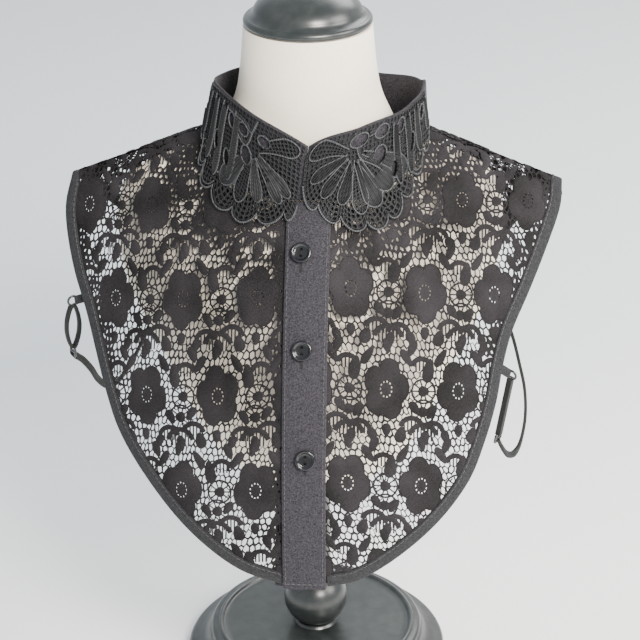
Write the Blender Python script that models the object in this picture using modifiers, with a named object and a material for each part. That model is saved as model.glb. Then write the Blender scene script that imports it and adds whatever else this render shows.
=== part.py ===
"""Detachable lace collar worn on a limbless tabletop dress form with a turned stand.

All sizes below are in millimetres and MM turns them into Blender's metres. +Z is up,
the front faces -Y and the origin is the middle of the stand's underside. Left and
right are as seen from the front: left is -X. The garment is shaped in its own frame,
which an empty turns and shifts a little, the way it sits on the form.
"""

import math

import bmesh
import bpy
import numpy as np
from mathutils import Euler, Matrix, Vector

MM = 0.001
GAP = 0.3

# Stand and form
BASE_RADIUS = 81.6
BASE_STEP_RADIUS = 66.7
BASE_RIM_HEIGHT = 8.0
BASE_HEIGHT = 24.0
BEAD_RADIUS = 1.6
KNOB_RADIUS = 20.0
KNOB_HEIGHT = 36.0
POST_RADIUS = 9.7
FORM_BOTTOM = 127.0
CAP_BOTTOM = 420.3
CAP_RADIUS = 36.3
CAP_LIP = 5.0
CAP_RISE = 22.0

# How the garment sits on the form
GARMENT_TURN = -4.5
GARMENT_SHIFT = 4.0

# Neck opening and shoulders
NECK_HALF_WIDTH = 63.0
NECK_FRONT = 57.0
NECK_BACK = 50.0
NECK_SIDE_HEIGHT = 357.5
SHOULDER_SLOPE = 0.378
RIDGE_EASE = 14.0

# Front and back walls: how far they stand forward of the shoulder ridge and over what drop
FRONT_REACH = 130.0
FRONT_DROP = 242.3
FRONT_POWER = 0.70
CHEST_RADIUS = 200.0
BACK_REACH = 76.0
BACK_DROP = 130.0
BACK_POWER = 0.45
BACK_RADIUS = 170.0
LACE_WALL = 1.0
BINDING_WIDTH = 7.6
BINDING_HALF = 1.36
SEAM_GAP = 0.7
SHOULDER_GAP = 0.8
PANEL_START = 9.0
PANEL_EASE = 1.2

# Standing band and turned-over lobes
BAND_HEIGHT = 27.5
BAND_LEAN = 4.0
BAND_SHIFT = 2.4
BAND_SLIT = 1.2
BAND_WALL = 1.6
BAND_SEAT = 1.3
V_DROP = 20.0
V_TURN = -2.7
BAND_BACK_DROP = 3.0
LOBE_WALL = 1.2
LOBE_OUT = 3.6
LOBE_REACH = 62.0
LOBE_ROW_POWER = 1.15
FOLD_OUT = 1.8
FOLD_SLANT = 1.8
SLANT_DROP = 8.0
EASING_PASSES = 6

# How far the fold line stands above its plain curve: turn round the neck, height
FOLD_RISES = ((-180.0, -3.0), (-150.0, 0.0), (-110.0, 0.0), (-65.0, 3.5), (-28.0, 0.0), (0.0, 1.0), (27.0, -3.7),
              (50.0, -4.7), (70.0, -2.0), (88.0, 1.5), (110.0, -2.5), (150.0, -5.8), (180.0, -3.0))

# Front closure
PLACKET_WIDTH = 24.0
PLACKET_WALL = 1.6
PLACKET_GAP = 0.5
PLACKET_TOP = 333.0
PLACKET_BOTTOM = 132.5
UNDER_SHIFT = 1.0
UNDER_SKEW = 4.2
UNDER_DROP = 1.2
BUTTON_RADIUS = 5.8
HOLE_RADIUS = 0.95
HOLE_SPACING = 1.7
HOLE_TURN = 10.0
SEAT_EASE = 0.15
BUTTON_PLACES = {"button_top": (-3.1, 312.7), "button_middle": (-1.5, 266.7), "button_low": (0.9, 210.3)}

# Strap hardware
STRAP_WIDTH = 4.0
STRAP_WALL = 1.1
RING_RADIUS = 2.9
RING_WIRE = 0.7
SLIDER_HALF_HEIGHT = 3.5
SLIDER_HALF_WIDTH = 3.9
TAB_ROOTS = {"left": (127.5, 272.0), "right": (105.0, 246.0)}
TAB_WALL = 1.2
TAB_WIDTH = 5.2
STRAP_SPREAD = {"left": 3.2, "right": 0.0}

# Turned outline of the form: height, half width, front, back, squareness of the section
FORM_SECTIONS = (
    (127.0, 11.0, 10.0, 9.0, 2.0),
    (129.5, 22.0, 20.0, 18.0, 2.0),
    (136.0, 34.0, 33.0, 28.0, 2.0),
    (147.0, 47.0, 47.0, 38.0, 2.0),
    (163.0, 61.0, 62.0, 48.0, 2.0),
    (188.0, 74.0, 76.0, 56.0, 2.0),
    (218.0, 86.0, 86.0, 60.0, 2.0),
    (248.0, 100.0, 90.0, 62.0, 1.9),
    (275.0, 109.5, 88.0, 62.0, 1.75),
    (300.0, 112.0, 77.5, 60.0, 1.55),
    (318.0, 110.0, 64.5, 57.0, 1.4),
    (331.0, 104.0, 52.5, 52.0, 1.3),
    (340.0, 92.0, 44.5, 46.0, 1.27),
    (346.0, 77.0, 40.0, 42.0, 1.3),
    (351.0, 62.0, 38.0, 40.0, 1.5),
    (357.0, 52.0, 37.5, 38.5, 1.75),
    (366.0, 47.5, 37.5, 38.0, 2.0),
    (380.0, 41.5, 36.5, 36.5, 2.0),
    (396.0, 38.5, 35.5, 35.5, 2.0),
    (420.0, 36.3, 35.0, 35.0, 2.0),
)

# Cut edge of each front from the shoulder tip to the centre: sideways, height
FRONT_EDGES = {
    "left": ((142.0, 328.0), (144.6, 315.0), (143.0, 301.0), (137.5, 282.0), (129.5, 263.5), (123.6, 246.0),
             (116.5, 224.5), (107.5, 204.0), (90.0, 182.0), (66.0, 159.0), (38.0, 141.0), (13.0, 134.0)),
    "right": ((140.5, 328.0), (139.3, 317.0), (131.2, 298.0), (122.6, 280.0), (113.4, 261.8), (108.6, 245.0),
              (105.3, 226.5), (99.4, 206.5), (91.0, 186.5), (75.0, 167.0), (53.0, 149.5), (31.0, 136.8), (13.0, 133.0)),
}

# Cut edge of the back from the shoulder tip to the centre: sideways, height
BACK_EDGE = ((141.0, 328.0), (127.0, 308.0), (114.0, 288.0), (106.0, 265.0), (101.0, 241.0),
             (92.0, 220.0), (74.0, 206.0), (40.0, 199.5), (0.0, 198.0))

# Notches between a lobe's scallops: turn round the neck in degrees, drop from the fold
LOBE_NOTCHES = {
    "left": ((-5.4, 35.0), (-11.0, 41.5), (-24.0, 51.0), (-37.0, 55.0), (-52.0, 51.5), (-63.0, 44.5),
             (-72.0, 32.0), (-81.0, 17.5)),
    "right": ((-3.6, 23.0), (4.0, 36.0), (14.0, 46.5), (25.5, 53.0), (36.0, 53.5), (46.0, 45.0),
              (56.0, 36.0), (67.0, 29.0), (79.0, 18.5)),
}
SCALLOP_BULGE = 7.0

# Open gaps over 4 mm in the lobes: turn, drop, half size each way in millimetres
LOBE_GAPS = {
    "left": ((-25.5, 10.5, 3.6, 2.5), (-35.0, 23.0, 3.3, 4.6), (-38.5, 10.5, 3.2, 3.0), (-47.0, 10.0, 2.4, 3.6),
             (-57.0, 27.0, 2.3, 5.4), (-47.5, 32.0, 2.3, 4.4)),
    "right": ((24.0, 6.5, 5.0, 3.2), (35.5, 19.0, 4.0, 5.0), (37.0, 6.0, 4.2, 3.2), (49.5, 6.5, 2.6, 3.4),
              (44.0, 29.5, 2.4, 4.6), (57.5, 20.0, 2.4, 5.0), (69.0, 8.0, 2.4, 3.6)),
}

# Adjuster straps, garment frame: the ring's middle, the slider's middle and the strap's route
RINGS = {"left": (-138.9, -40.5, 264.9), "right": (113.6, -61.5, 234.0)}
SLIDERS = {"left": (-140.6, -41.5, 233.0), "right": (107.4, -49.0, 187.0)}
STRAP_ROUTES = {
    "left": ((-139.6, -38.6, 228.6), (-137.0, -32.0, 222.5), (-134.0, -24.0, 212.5), (-132.0, -15.0, 201.0),
             (-128.5, -4.0, 191.0), (-124.0, 12.0, 187.0), (-117.5, 29.0, 193.0), (-110.5, 44.0, 205.5),
             (-104.2, 54.5, 219.0)),
    "right": ((108.2, -46.6, 182.3), (110.4, -43.2, 176.0), (113.6, -37.0, 168.6), (117.6, -30.0, 165.5),
              (121.4, -22.0, 169.0), (124.0, -12.0, 180.5), (123.4, -1.0, 193.5), (120.0, 11.0, 205.0),
              (116.6, 23.0, 214.0), (112.0, 38.0, 222.0), (106.0, 52.5, 230.0)),
}

COLOURS = {
    "lace": ((0.020, 0.020, 0.022), 0.75, 0.0),
    "guipure": ((0.022, 0.023, 0.025), 0.60, 0.0),
    "cloth": ((0.055, 0.052, 0.060), 0.85, 0.0),
    "button": ((0.012, 0.012, 0.014), 0.20, 0.0),
    "strap": ((0.015, 0.015, 0.016), 0.70, 0.0),
    "ring": ((0.030, 0.030, 0.032), 0.25, 0.8),
    "form_cloth": ((0.80, 0.76, 0.70), 0.90, 0.0),
    "black_wood": ((0.045, 0.050, 0.050), 0.35, 0.0),
}


# Scene, materials and collections


def clear_scene():
    for item in list(bpy.data.objects):
        bpy.data.objects.remove(item, do_unlink=True)


def make_material(name):
    colour, roughness, metallic = COLOURS[name]
    material = bpy.data.materials.new(name)
    material.use_nodes = True
    shader = material.node_tree.nodes["Principled BSDF"]
    shader.inputs["Base Color"].default_value = (*colour, 1.0)
    shader.inputs["Roughness"].default_value = roughness
    shader.inputs["Metallic"].default_value = metallic
    return material


def make_collection(name):
    collection = bpy.data.collections.new(name)
    bpy.context.scene.collection.children.link(collection)
    return collection


def add_object(name, mesh, material, parent=None):
    item = bpy.data.objects.new(name, mesh)
    mesh.materials.append(MATERIALS[material])
    PARTS.objects.link(item)
    item.parent = parent
    return item


# General shapes


def smooth_all(mesh, angle=40.0):
    mesh.shade_smooth()
    mesh.set_sharp_from_angle(angle=math.radians(angle))


def wall(name, point, columns, rows, thickness, material, parent, trim=None):
    """A sheet on point(u, v), u and v from 0 to 1, given an even thickness by Solidify."""
    bm = bmesh.new()
    bmesh.ops.create_grid(bm, x_segments=columns, y_segments=rows, size=0.5)
    spots = {v: (v.co.x + 0.5, v.co.y + 0.5) for v in bm.verts}
    if trim:
        trim(bm, spots)
    for vert in bm.verts:
        vert.co = Vector(point(*spots[vert])) * MM
    mesh = bpy.data.meshes.new(name)
    bm.to_mesh(mesh)
    bm.free()
    item = add_object(name, mesh, material, parent)
    shell = item.modifiers.new("thickness", "SOLIDIFY")
    shell.thickness = thickness * MM
    shell.offset = 0.0
    shell.use_even_offset = True
    smooth_all(mesh)
    return item


def loft(name, rings, material, parent=None):
    """A closed solid through rings of equally many points, capped at both ends."""
    bm = bmesh.new()
    rows = [[bm.verts.new(Vector(p) * MM) for p in ring] for ring in rings]
    count = len(rows[0])
    for low, high in zip(rows, rows[1:]):
        for i in range(count):
            j = (i + 1) % count
            bm.faces.new((low[i], low[j], high[j], high[i]))
    bm.faces.new(rows[0][::-1])
    bm.faces.new(rows[-1])
    bmesh.ops.recalc_face_normals(bm, faces=bm.faces)
    mesh = bpy.data.meshes.new(name)
    bm.to_mesh(mesh)
    bm.free()
    smooth_all(mesh)
    return add_object(name, mesh, material, parent)


def turned(name, profile, steps, material, parent=None):
    """A solid turned about Z from its outline, which runs from top to bottom."""
    mesh = bpy.data.meshes.new(name)
    points = [(r * MM, 0.0, z * MM) for r, z in profile]
    mesh.from_pydata(points, [(i, i + 1) for i in range(len(points) - 1)], [])
    item = add_object(name, mesh, material, parent)
    screw = item.modifiers.new("turning", "SCREW")
    screw.axis = "Z"
    screw.steps = steps
    screw.render_steps = steps
    screw.use_merge_vertices = True
    screw.merge_threshold = 0.00001
    return item


def arc(cx, cz, radius, start, stop, count):
    """Points of a turned outline along an arc, angles in degrees from +X."""
    angles = (math.radians(start + (stop - start) * i / count) for i in range(count + 1))
    return [(cx + radius * math.cos(a), cz + radius * math.sin(a)) for a in angles]


def curve_through(points, count):
    """Evenly spaced points on a smooth curve through the given ones."""
    p = np.array(points, float)
    p = np.vstack([2 * p[0] - p[1], p, 2 * p[-1] - p[-2]])
    fine = []
    for i in range(1, len(p) - 2):
        for t in np.linspace(0, 1, 12, endpoint=False):
            fine.append(0.5 * (2 * p[i] + (p[i + 1] - p[i - 1]) * t
                               + (2 * p[i - 1] - 5 * p[i] + 4 * p[i + 1] - p[i + 2]) * t ** 2
                               + (3 * p[i] - p[i - 1] - 3 * p[i + 1] + p[i + 2]) * t ** 3))
    fine.append(p[-2])
    fine = np.array(fine)
    run = np.r_[0, np.cumsum(np.linalg.norm(np.diff(fine, axis=0), axis=1))]
    return [np.array([np.interp(s, run, fine[:, k]) for k in range(p.shape[1])])
            for s in np.linspace(0, run[-1], count)]


def unit(vector):
    return np.array(vector, float) / np.linalg.norm(vector)


def strap_rings(points, face, width, thickness):
    """Rectangular sections along a strap whose broad side faces the given way."""
    rings = []
    for i, point in enumerate(points):
        ahead = unit(np.array(points[min(i + 1, len(points) - 1)]) - points[max(i - 1, 0)])
        across = unit(np.cross(ahead, face))
        out = np.cross(across, ahead)
        corners = ((-0.5, -0.5), (0.5, -0.5), (0.5, 0.5), (-0.5, 0.5))
        rings.append([point + across * width * a + out * thickness * b for a, b in corners])
    return rings


# Shape of the garment: one surface carries the fronts, closure, lobes and bindings


def ridge_height(x):
    """The shoulder line, straight from neck to tip and eased over the middle of the neck."""
    past_neck = math.hypot(x, RIDGE_EASE) - math.hypot(NECK_HALF_WIDTH, RIDGE_EASE)
    return NECK_SIDE_HEIGHT - SHOULDER_SLOPE * past_neck


def wall_shape(back):
    if back:
        return BACK_REACH, BACK_RADIUS, BACK_DROP, BACK_POWER
    return FRONT_REACH, CHEST_RADIUS, FRONT_DROP, FRONT_POWER


def wall_reach(x, back):
    far, radius = wall_shape(back)[:2]
    return far - (radius - math.sqrt(radius ** 2 - x ** 2))


def angle_at_height(x, z, back=False):
    """The angle that stands for a height: 0 on the shoulder ridge, 90 degrees at the full drop."""
    down = (ridge_height(x) - z) / wall_shape(back)[2]
    return math.acos(1 - max(down, 0.0)) if down < 1.0 else math.pi / 2 + down - 1.0


def angle_at_reach(x, y, back=False):
    """The angle that stands for a distance forward or back of the ridge."""
    share = min(abs(y) / wall_reach(x, back), 1.0)
    return math.asin(share ** (0.5 / wall_shape(back)[3]))


def wall_spot(x, angle, back=False):
    """The cloth's surface, from a place sideways and an angle down from the ridge.

    It hangs straight down below the full drop, where an angle over 90 degrees stands for height.
    """
    drop, power = wall_shape(back)[2:]
    curved = min(max(angle, 0.0), math.pi / 2)
    y = wall_reach(x, back) * math.sin(curved) ** (2 * power)
    return np.array((x, y if back else -y, ridge_height(x) - drop * (1 - math.cos(curved) + angle - curved)))


def wall_height(x, y):
    """The height of the cloth above a place in plan."""
    return wall_spot(x, angle_at_reach(x, y, y > 0), y > 0)[2]


def on_angle(x, angle, out=0.0, back=False):
    """A point of the cloth, moved out along the cloth's normal."""
    e = 0.0005
    low, high = max(angle - e, 0.0002), angle + e
    down = wall_spot(x, high, back) - wall_spot(x, low, back)
    along = wall_spot(x + 0.05, angle, back) - wall_spot(x - 0.05, angle, back)
    normal = unit(np.cross(down, along) if back else np.cross(along, down))
    normal *= 1.0 if normal[1] * (1 if back else -1) + 0.2 * normal[2] > 0 else -1.0
    return wall_spot(x, angle, back) + out * normal


def on_wall(x, z, out=0.0, back=False):
    return on_angle(x, angle_at_height(x, z, back), out, back)


def seam_angle(x, back):
    """Where a panel stops at the shoulder, half a seam's gap short of the ridge."""
    return angle_at_reach(x, SHOULDER_GAP / 2, back)


def neck_plan(turn, grow=0.0):
    """A plan point round the neck: turn is 0 at the front, 180 at the back, + to the right."""
    angle = math.radians(turn)
    deep = NECK_FRONT if abs(turn) < 90 else NECK_BACK
    return (NECK_HALF_WIDTH + grow) * math.sin(angle), -(deep + grow) * math.cos(angle)


def band_bottom(turn, out=0.0):
    x, y = neck_plan(turn, out)
    return np.array((x, y, wall_height(*neck_plan(turn)) + BAND_SEAT))


def fold_rise(turn):
    """How far the fold line stands above its plain curve, eased between the rows."""
    turns, rises = np.transpose(FOLD_RISES)
    i = min(max(int(np.searchsorted(turns, turn, side="right")) - 1, 0), len(turns) - 2)
    share = (turn - turns[i]) / (turns[i + 1] - turns[i])
    return rises[i] + (rises[i + 1] - rises[i]) * share ** 2 * (3 - 2 * share)


def band_top(turn, out=0.0):
    x, y = neck_plan(turn, out - BAND_LEAN)
    off = math.radians(min(abs(turn - V_TURN), 90.0))
    side_top = NECK_SIDE_HEIGHT + BAND_SEAT + BAND_HEIGHT
    z = side_top - V_DROP * (1 - math.sin(off)) ** 2 + fold_rise(turn)
    z -= BAND_BACK_DROP * max(-math.cos(math.radians(turn)), 0)
    return np.array((x + BAND_SHIFT, y, z))


def meridian(turn, out):
    """A lobe's run at one turn: from the fold down the band, then out over the front, eased."""
    top, low = band_top(turn, FOLD_OUT), band_bottom(turn, out)
    points = [top + (low - top) * share for share in np.linspace(0, 1, 8)]
    for grow in np.arange(2.0, LOBE_REACH + 1.0, 2.0):
        x, y = neck_plan(turn, grow)
        points.append(on_angle(x, angle_at_reach(x, y), out))
    points = np.array(points)
    for _ in range(EASING_PASSES):
        points[1:-1] = points[1:-1] * 0.5 + (points[:-2] + points[2:]) * 0.25
    run = np.r_[0, np.cumsum(np.linalg.norm(np.diff(points, axis=0), axis=1))]
    return run, points


def lobe_point(turn, drop, out=LOBE_OUT):
    run, points = meridian(turn, out)
    return [np.interp(drop, run, points[:, k]) for k in range(3)]


def lobe_depth(side, turn):
    """How far a lobe hangs at a turn: straight between notches, plus a rounded scallop."""
    notches = LOBE_NOTCHES[side]
    for (t0, d0), (t1, d1) in zip(notches, notches[1:]):
        share = (turn - t0) / (t1 - t0)
        if share <= 1.0001:
            return d0 + (d1 - d0) * share + SCALLOP_BULGE * max(math.sin(math.pi * share), 0) ** 0.6
    return notches[-1][1]


# Form and stand


def build_stand():
    base = [(0.0, BASE_HEIGHT), (BASE_STEP_RADIUS - 9.0, BASE_HEIGHT)]
    base += arc(BASE_STEP_RADIUS - 6.0, BASE_HEIGHT, BEAD_RADIUS, 150, 0, 2)
    base += arc(BASE_STEP_RADIUS - 2.5, BASE_HEIGHT - 2.6, 2.6, 80, 0, 2)
    base += [(BASE_STEP_RADIUS + 1.2, 16.5), (BASE_STEP_RADIUS + 4.5, 12.5), (BASE_STEP_RADIUS + 9.0, 10.2)]
    base += arc(BASE_RADIUS - 3.2, BASE_RIM_HEIGHT - 1.5, 3.2, 75, -10, 3)
    base += [(BASE_RADIUS - 1.8, 0.0), (0.0, 0.0)]
    turned("stand_base", base, 40, "black_wood")

    knob_low = BASE_HEIGHT + GAP
    middle = knob_low + KNOB_HEIGHT / 2
    knob = [(0.0, knob_low + KNOB_HEIGHT)]
    knob += [(KNOB_RADIUS * math.sin(math.radians(a)) ** 0.8, middle + KNOB_HEIGHT / 2 * math.cos(math.radians(a)))
             for a in (35, 50, 65, 80, 95, 110, 125, 140, 152)]
    knob += [(0.0, knob[-1][1])]
    foot = [(KNOB_RADIUS * 0.62, knob[-1][1] - GAP), (KNOB_RADIUS * 0.7, BASE_HEIGHT + GAP)]
    turned("stand_foot", [(0.0, foot[0][1]), *foot, (0.0, foot[1][1])], 28, "black_wood")
    turned("stand_knob", knob, 32, "black_wood")

    post_low = knob_low + KNOB_HEIGHT + GAP
    post_high = FORM_BOTTOM - GAP
    post = [(0.0, post_high), (POST_RADIUS + 2.0, post_high), (POST_RADIUS + 1.0, post_high - 6.0),
            (POST_RADIUS, post_high - 14.0), (POST_RADIUS, post_low + 8.0), (POST_RADIUS + 1.6, post_low),
            (0.0, post_low)]
    turned("stand_post", post, 24, "black_wood")


def form_ring(section, count):
    """One level of the form, a rounded section that is fuller in front than behind."""
    z, half, front, back, power = section
    ring = []
    for i in range(count):
        angle = 2 * math.pi * i / count
        c, s = math.cos(angle), math.sin(angle)
        x = half * math.copysign(abs(c) ** (2 / power), c)
        y = (back if s > 0 else front) * math.copysign(abs(s) ** (2 / power), s)
        ring.append((x, y, z))
    return ring


def build_form():
    loft("form_torso", [form_ring(section, 36) for section in FORM_SECTIONS], "form_cloth")
    low = CAP_BOTTOM
    cap = [(0.0, low + CAP_RISE)]
    cap += [((CAP_RADIUS - CAP_LIP) * math.sin(math.radians(a)), low + CAP_LIP + (CAP_RISE - CAP_LIP)
             * math.cos(math.radians(a))) for a in (20, 40, 60, 78)]
    cap += arc(CAP_RADIUS - CAP_LIP / 2, low + CAP_LIP / 2, CAP_LIP / 2, 85, -80, 5)
    cap += [(0.0, low)]
    turned("form_neck_cap", cap, 32, "black_wood")


# Lace fronts, back and bindings


def cut_edge(points, inset, count, back=False):
    """The cut edge, moved in from the outline by a width of cloth: sideways and angle."""
    line = [np.array(p) for p in curve_through(points, count)]
    moved = []
    for i, p in enumerate(line):
        ahead = line[min(i + 1, count - 1)] - line[max(i - 1, 0)]
        inward = unit((ahead[1], -ahead[0]))
        if inward @ (np.array((0.0, 300.0)) - p) < 0:
            inward = -inward
        here, there = on_wall(p[0], p[1], 0.0, back), on_wall(*(p + inward), 0.0, back)
        x, z = p + inward * inset / np.linalg.norm(there - here)
        angle = angle_at_height(x, z, back) if i else 0.0
        moved.append(np.array((x, max(angle, seam_angle(x, back)))))
    return moved


def panel_patch(side, edge, neck_start, low_start, back):
    """A four-sided patch between the neck, shoulder, cut edge and centre line of a panel."""
    sign = -1.0 if side == "left" else 1.0
    grow = BAND_WALL / 2 + GAP + LACE_WALL
    neck_x = NECK_HALF_WIDTH + grow

    def neck(u):
        turn = math.degrees(math.asin(neck_start / neck_x)) * (1 - u) + 90.0 * u
        x, y = neck_plan(180.0 - turn if back else turn, grow)
        return np.array((x, max(angle_at_reach(x, y, back), seam_angle(x, back))))

    tip = edge[0]
    low = np.array((low_start, edge[-1][1]))
    corners = neck(0), neck(1)

    def low_edge(u):
        place = (1 - u) * (len(edge) - 1)
        i = min(int(place), len(edge) - 2)
        return edge[i] + (edge[i + 1] - edge[i]) * (place - i)

    def patch(u, v):
        u = 1 - (1 - u) ** PANEL_EASE
        shoulder = corners[1] + (tip - corners[1]) * v
        centre = corners[0] + (low - corners[0]) * v
        across = (1 - v) * neck(u) + v * low_edge(u)
        down = (1 - u) * centre + u * shoulder
        bilinear = ((1 - u) * (1 - v) * corners[0] + u * (1 - v) * corners[1]
                    + (1 - u) * v * low + u * v * tip)
        return on_angle(*(across + down - bilinear), 0.0, back) * (sign, 1, 1)

    return patch


def build_fronts(garment):
    for side, points in FRONT_EDGES.items():
        edge = cut_edge(points, BINDING_WIDTH + SEAM_GAP, 40)
        patch = panel_patch(side, edge, PANEL_START, PANEL_START, False)
        wall(f"front_{side}", patch, 16, 13, LACE_WALL, "lace", garment)


def build_back(garment):
    edge = cut_edge(BACK_EDGE, BINDING_WIDTH + SEAM_GAP, 40, True)
    edge[-1][0] = 0.0
    half = panel_patch("right", edge, 0.01, 0.0, True)
    mirrored = panel_patch("left", edge, 0.01, 0.0, True)

    def both(u, v):
        return half(2 * u - 1, v) if u >= 0.5 else mirrored(1 - 2 * u, v)

    wall("back_panel", both, 24, 9, LACE_WALL, "lace", garment)


def binding_rings(outer, inner, back, sign):
    """Rounded sections of a folded bias strip between the outline and the panel's edge."""
    rings = []
    for far, near in zip(outer, inner):
        ring = []
        for share, out in ((0.0, 0.8), (0.3, 1.0), (0.85, 0.8), (1.0, 0.0), (0.85, -0.8), (0.3, -1.0), (0.0, -0.8)):
            x, angle = near + (far - near) * share
            ring.append(on_angle(x, angle, out * BINDING_HALF, back) * (sign, 1, 1))
        rings.append(ring)
    return rings


def build_bindings(garment):
    clear_of_placket = PLACKET_WIDTH / 2 + SEAM_GAP
    for side, points in FRONT_EDGES.items():
        sign = -1.0 if side == "left" else 1.0
        edges = [cut_edge(points, inset, 30) for inset in (0.0, BINDING_WIDTH)]
        for spot in edges[0] + edges[1]:
            spot[0] = max(spot[0], clear_of_placket)
        loft(f"binding_{side}", binding_rings(*edges, False, sign), "cloth", garment)
    edges = [cut_edge(BACK_EDGE, inset, 22, True) for inset in (0.0, BINDING_WIDTH)]
    edges[0][-1][0] = edges[1][-1][0] = 0.0
    right = binding_rings(*edges, True, 1.0)
    left = binding_rings(*edges, True, -1.0)
    loft("binding_back", right + left[-2::-1], "cloth", garment)


# Band, lobes and closure


def build_band(garment):
    start = V_TURN + BAND_SLIT / 2
    sweep = 360.0 - BAND_SLIT

    def point(u, v):
        turn = (start + sweep * u + 180.0) % 360.0 - 180.0
        low, high = band_bottom(turn), band_top(turn)
        return low + (high - low) * v

    wall("collar_band", point, 40, 2, BAND_WALL, "cloth", garment)


def open_gaps(gaps, place):
    """Cuts rounded gaps: faces inside go, and the rim's points move onto the gap's outline."""
    def trim(bm, spots):
        for turn, drop, half_across, half_down in gaps:
            scale = (half_across / 1.13, half_down)

            def off(uv):
                t, w = place(*uv)
                return Vector(((t - turn) / scale[0], (w - drop) / scale[1]))

            middles = {}
            for face in bm.faces:
                spot = np.mean([spots[v] for v in face.verts], axis=0)
                middles[face] = off(spot).length
            inside = [f for f, length in middles.items() if length < 1.0]
            rim = {v for f in inside for v in f.verts if any(g not in inside for g in v.link_faces)}
            bmesh.ops.delete(bm, geom=inside, context="FACES")
            for vert in (v for v in rim if v.is_valid):
                uv = np.array(spots[vert])
                for _ in range(4):
                    here = off(uv)
                    e = 1e-4
                    du, dv = off(uv + (e, 0)) - here, off(uv + (0, e)) - here
                    grid = Matrix(((du.x / e, dv.x / e), (du.y / e, dv.y / e)))
                    step = grid.inverted() @ (here.normalized() - here)
                    uv = np.clip(uv + np.array(step), 0.0, 1.0)
                spots[vert] = tuple(uv)

    return trim


def build_lobes(garment):
    for side, notches in LOBE_NOTCHES.items():
        start, stop = notches[0][0], notches[-1][0]

        def place(u, v, side=side, start=start, stop=stop):
            turn = start + (stop - start) * u
            drop = lobe_depth(side, turn) * v ** LOBE_ROW_POWER
            return turn + FOLD_SLANT * (1 - u) * max(1 - drop / SLANT_DROP, 0.0), drop

        trim = open_gaps(LOBE_GAPS[side], place)
        wall(f"lobe_{side}", lambda u, v, place=place: lobe_point(*place(u, v)), 32, 12, LOBE_WALL, "guipure",
             garment, trim)


def build_closure(garment):
    half = PLACKET_WIDTH / 2
    out = LACE_WALL / 2 + PLACKET_GAP + PLACKET_WALL / 2
    behind = BINDING_HALF + PLACKET_GAP + PLACKET_WALL / 2

    def upper(u, v):
        x = half * (2 * u - 1)
        return on_wall(x, PLACKET_BOTTOM + (PLACKET_TOP - PLACKET_BOTTOM) * v, out)

    def under(u, v):
        x = half * (2 * u - 1) - UNDER_SHIFT - UNDER_SKEW * (1 - v)
        return on_wall(x, PLACKET_BOTTOM - UNDER_DROP + (PLACKET_TOP - PLACKET_BOTTOM) * v, -behind)

    wall("placket", upper, 2, 20, PLACKET_WALL, "cloth", garment)
    wall("under_placket", under, 2, 20, PLACKET_WALL, "cloth", garment)

    face = out + PLACKET_WALL / 2 + GAP
    radius = BUTTON_RADIUS
    outline = [(0.0, 1.5), (radius * 0.66, 1.5), (radius * 0.76, 2.3), (radius * 0.9, 2.5), (radius, 1.7),
               (radius * 0.93, 0.6), (radius * 0.75, 0.0), (0.0, 0.0)]
    for name, (across, height) in BUTTON_PLACES.items():
        seat = on_wall(across, height, face + SEAT_EASE)
        normal = unit(on_wall(across, height, 1.0) - on_wall(across, height, 0.0))
        button = turned(name, outline, 22, "button", garment)
        button.location = Vector(seat) * MM
        button.rotation_euler = Vector(normal).to_track_quat("Z", "Y").to_euler()
        for sign in (-1.0, 1.0):
            add_thread_hole(button, sign)


def add_thread_hole(button, sign):
    """A thread hole through a button, one above and one below its middle."""
    bpy.ops.mesh.primitive_cylinder_add(vertices=7, radius=HOLE_RADIUS * MM, depth=8 * MM)
    cutter = bpy.context.object
    cutter.name = f"hole_cutter_{button.name}"
    cutter.parent = button
    cutter.location = (0.0, sign * HOLE_SPACING * MM, 1.0 * MM)
    cutter.rotation_euler = (0.0, 0.0, math.radians(HOLE_TURN))
    for owner in list(cutter.users_collection):
        owner.objects.unlink(cutter)
    CUTTERS.objects.link(cutter)
    cutter.hide_render = True
    cutter.display_type = "WIRE"
    hole = button.modifiers.new("thread hole", "BOOLEAN")
    hole.operation = "DIFFERENCE"
    hole.solver = "EXACT"
    hole.object = cutter


# Adjuster straps


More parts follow.
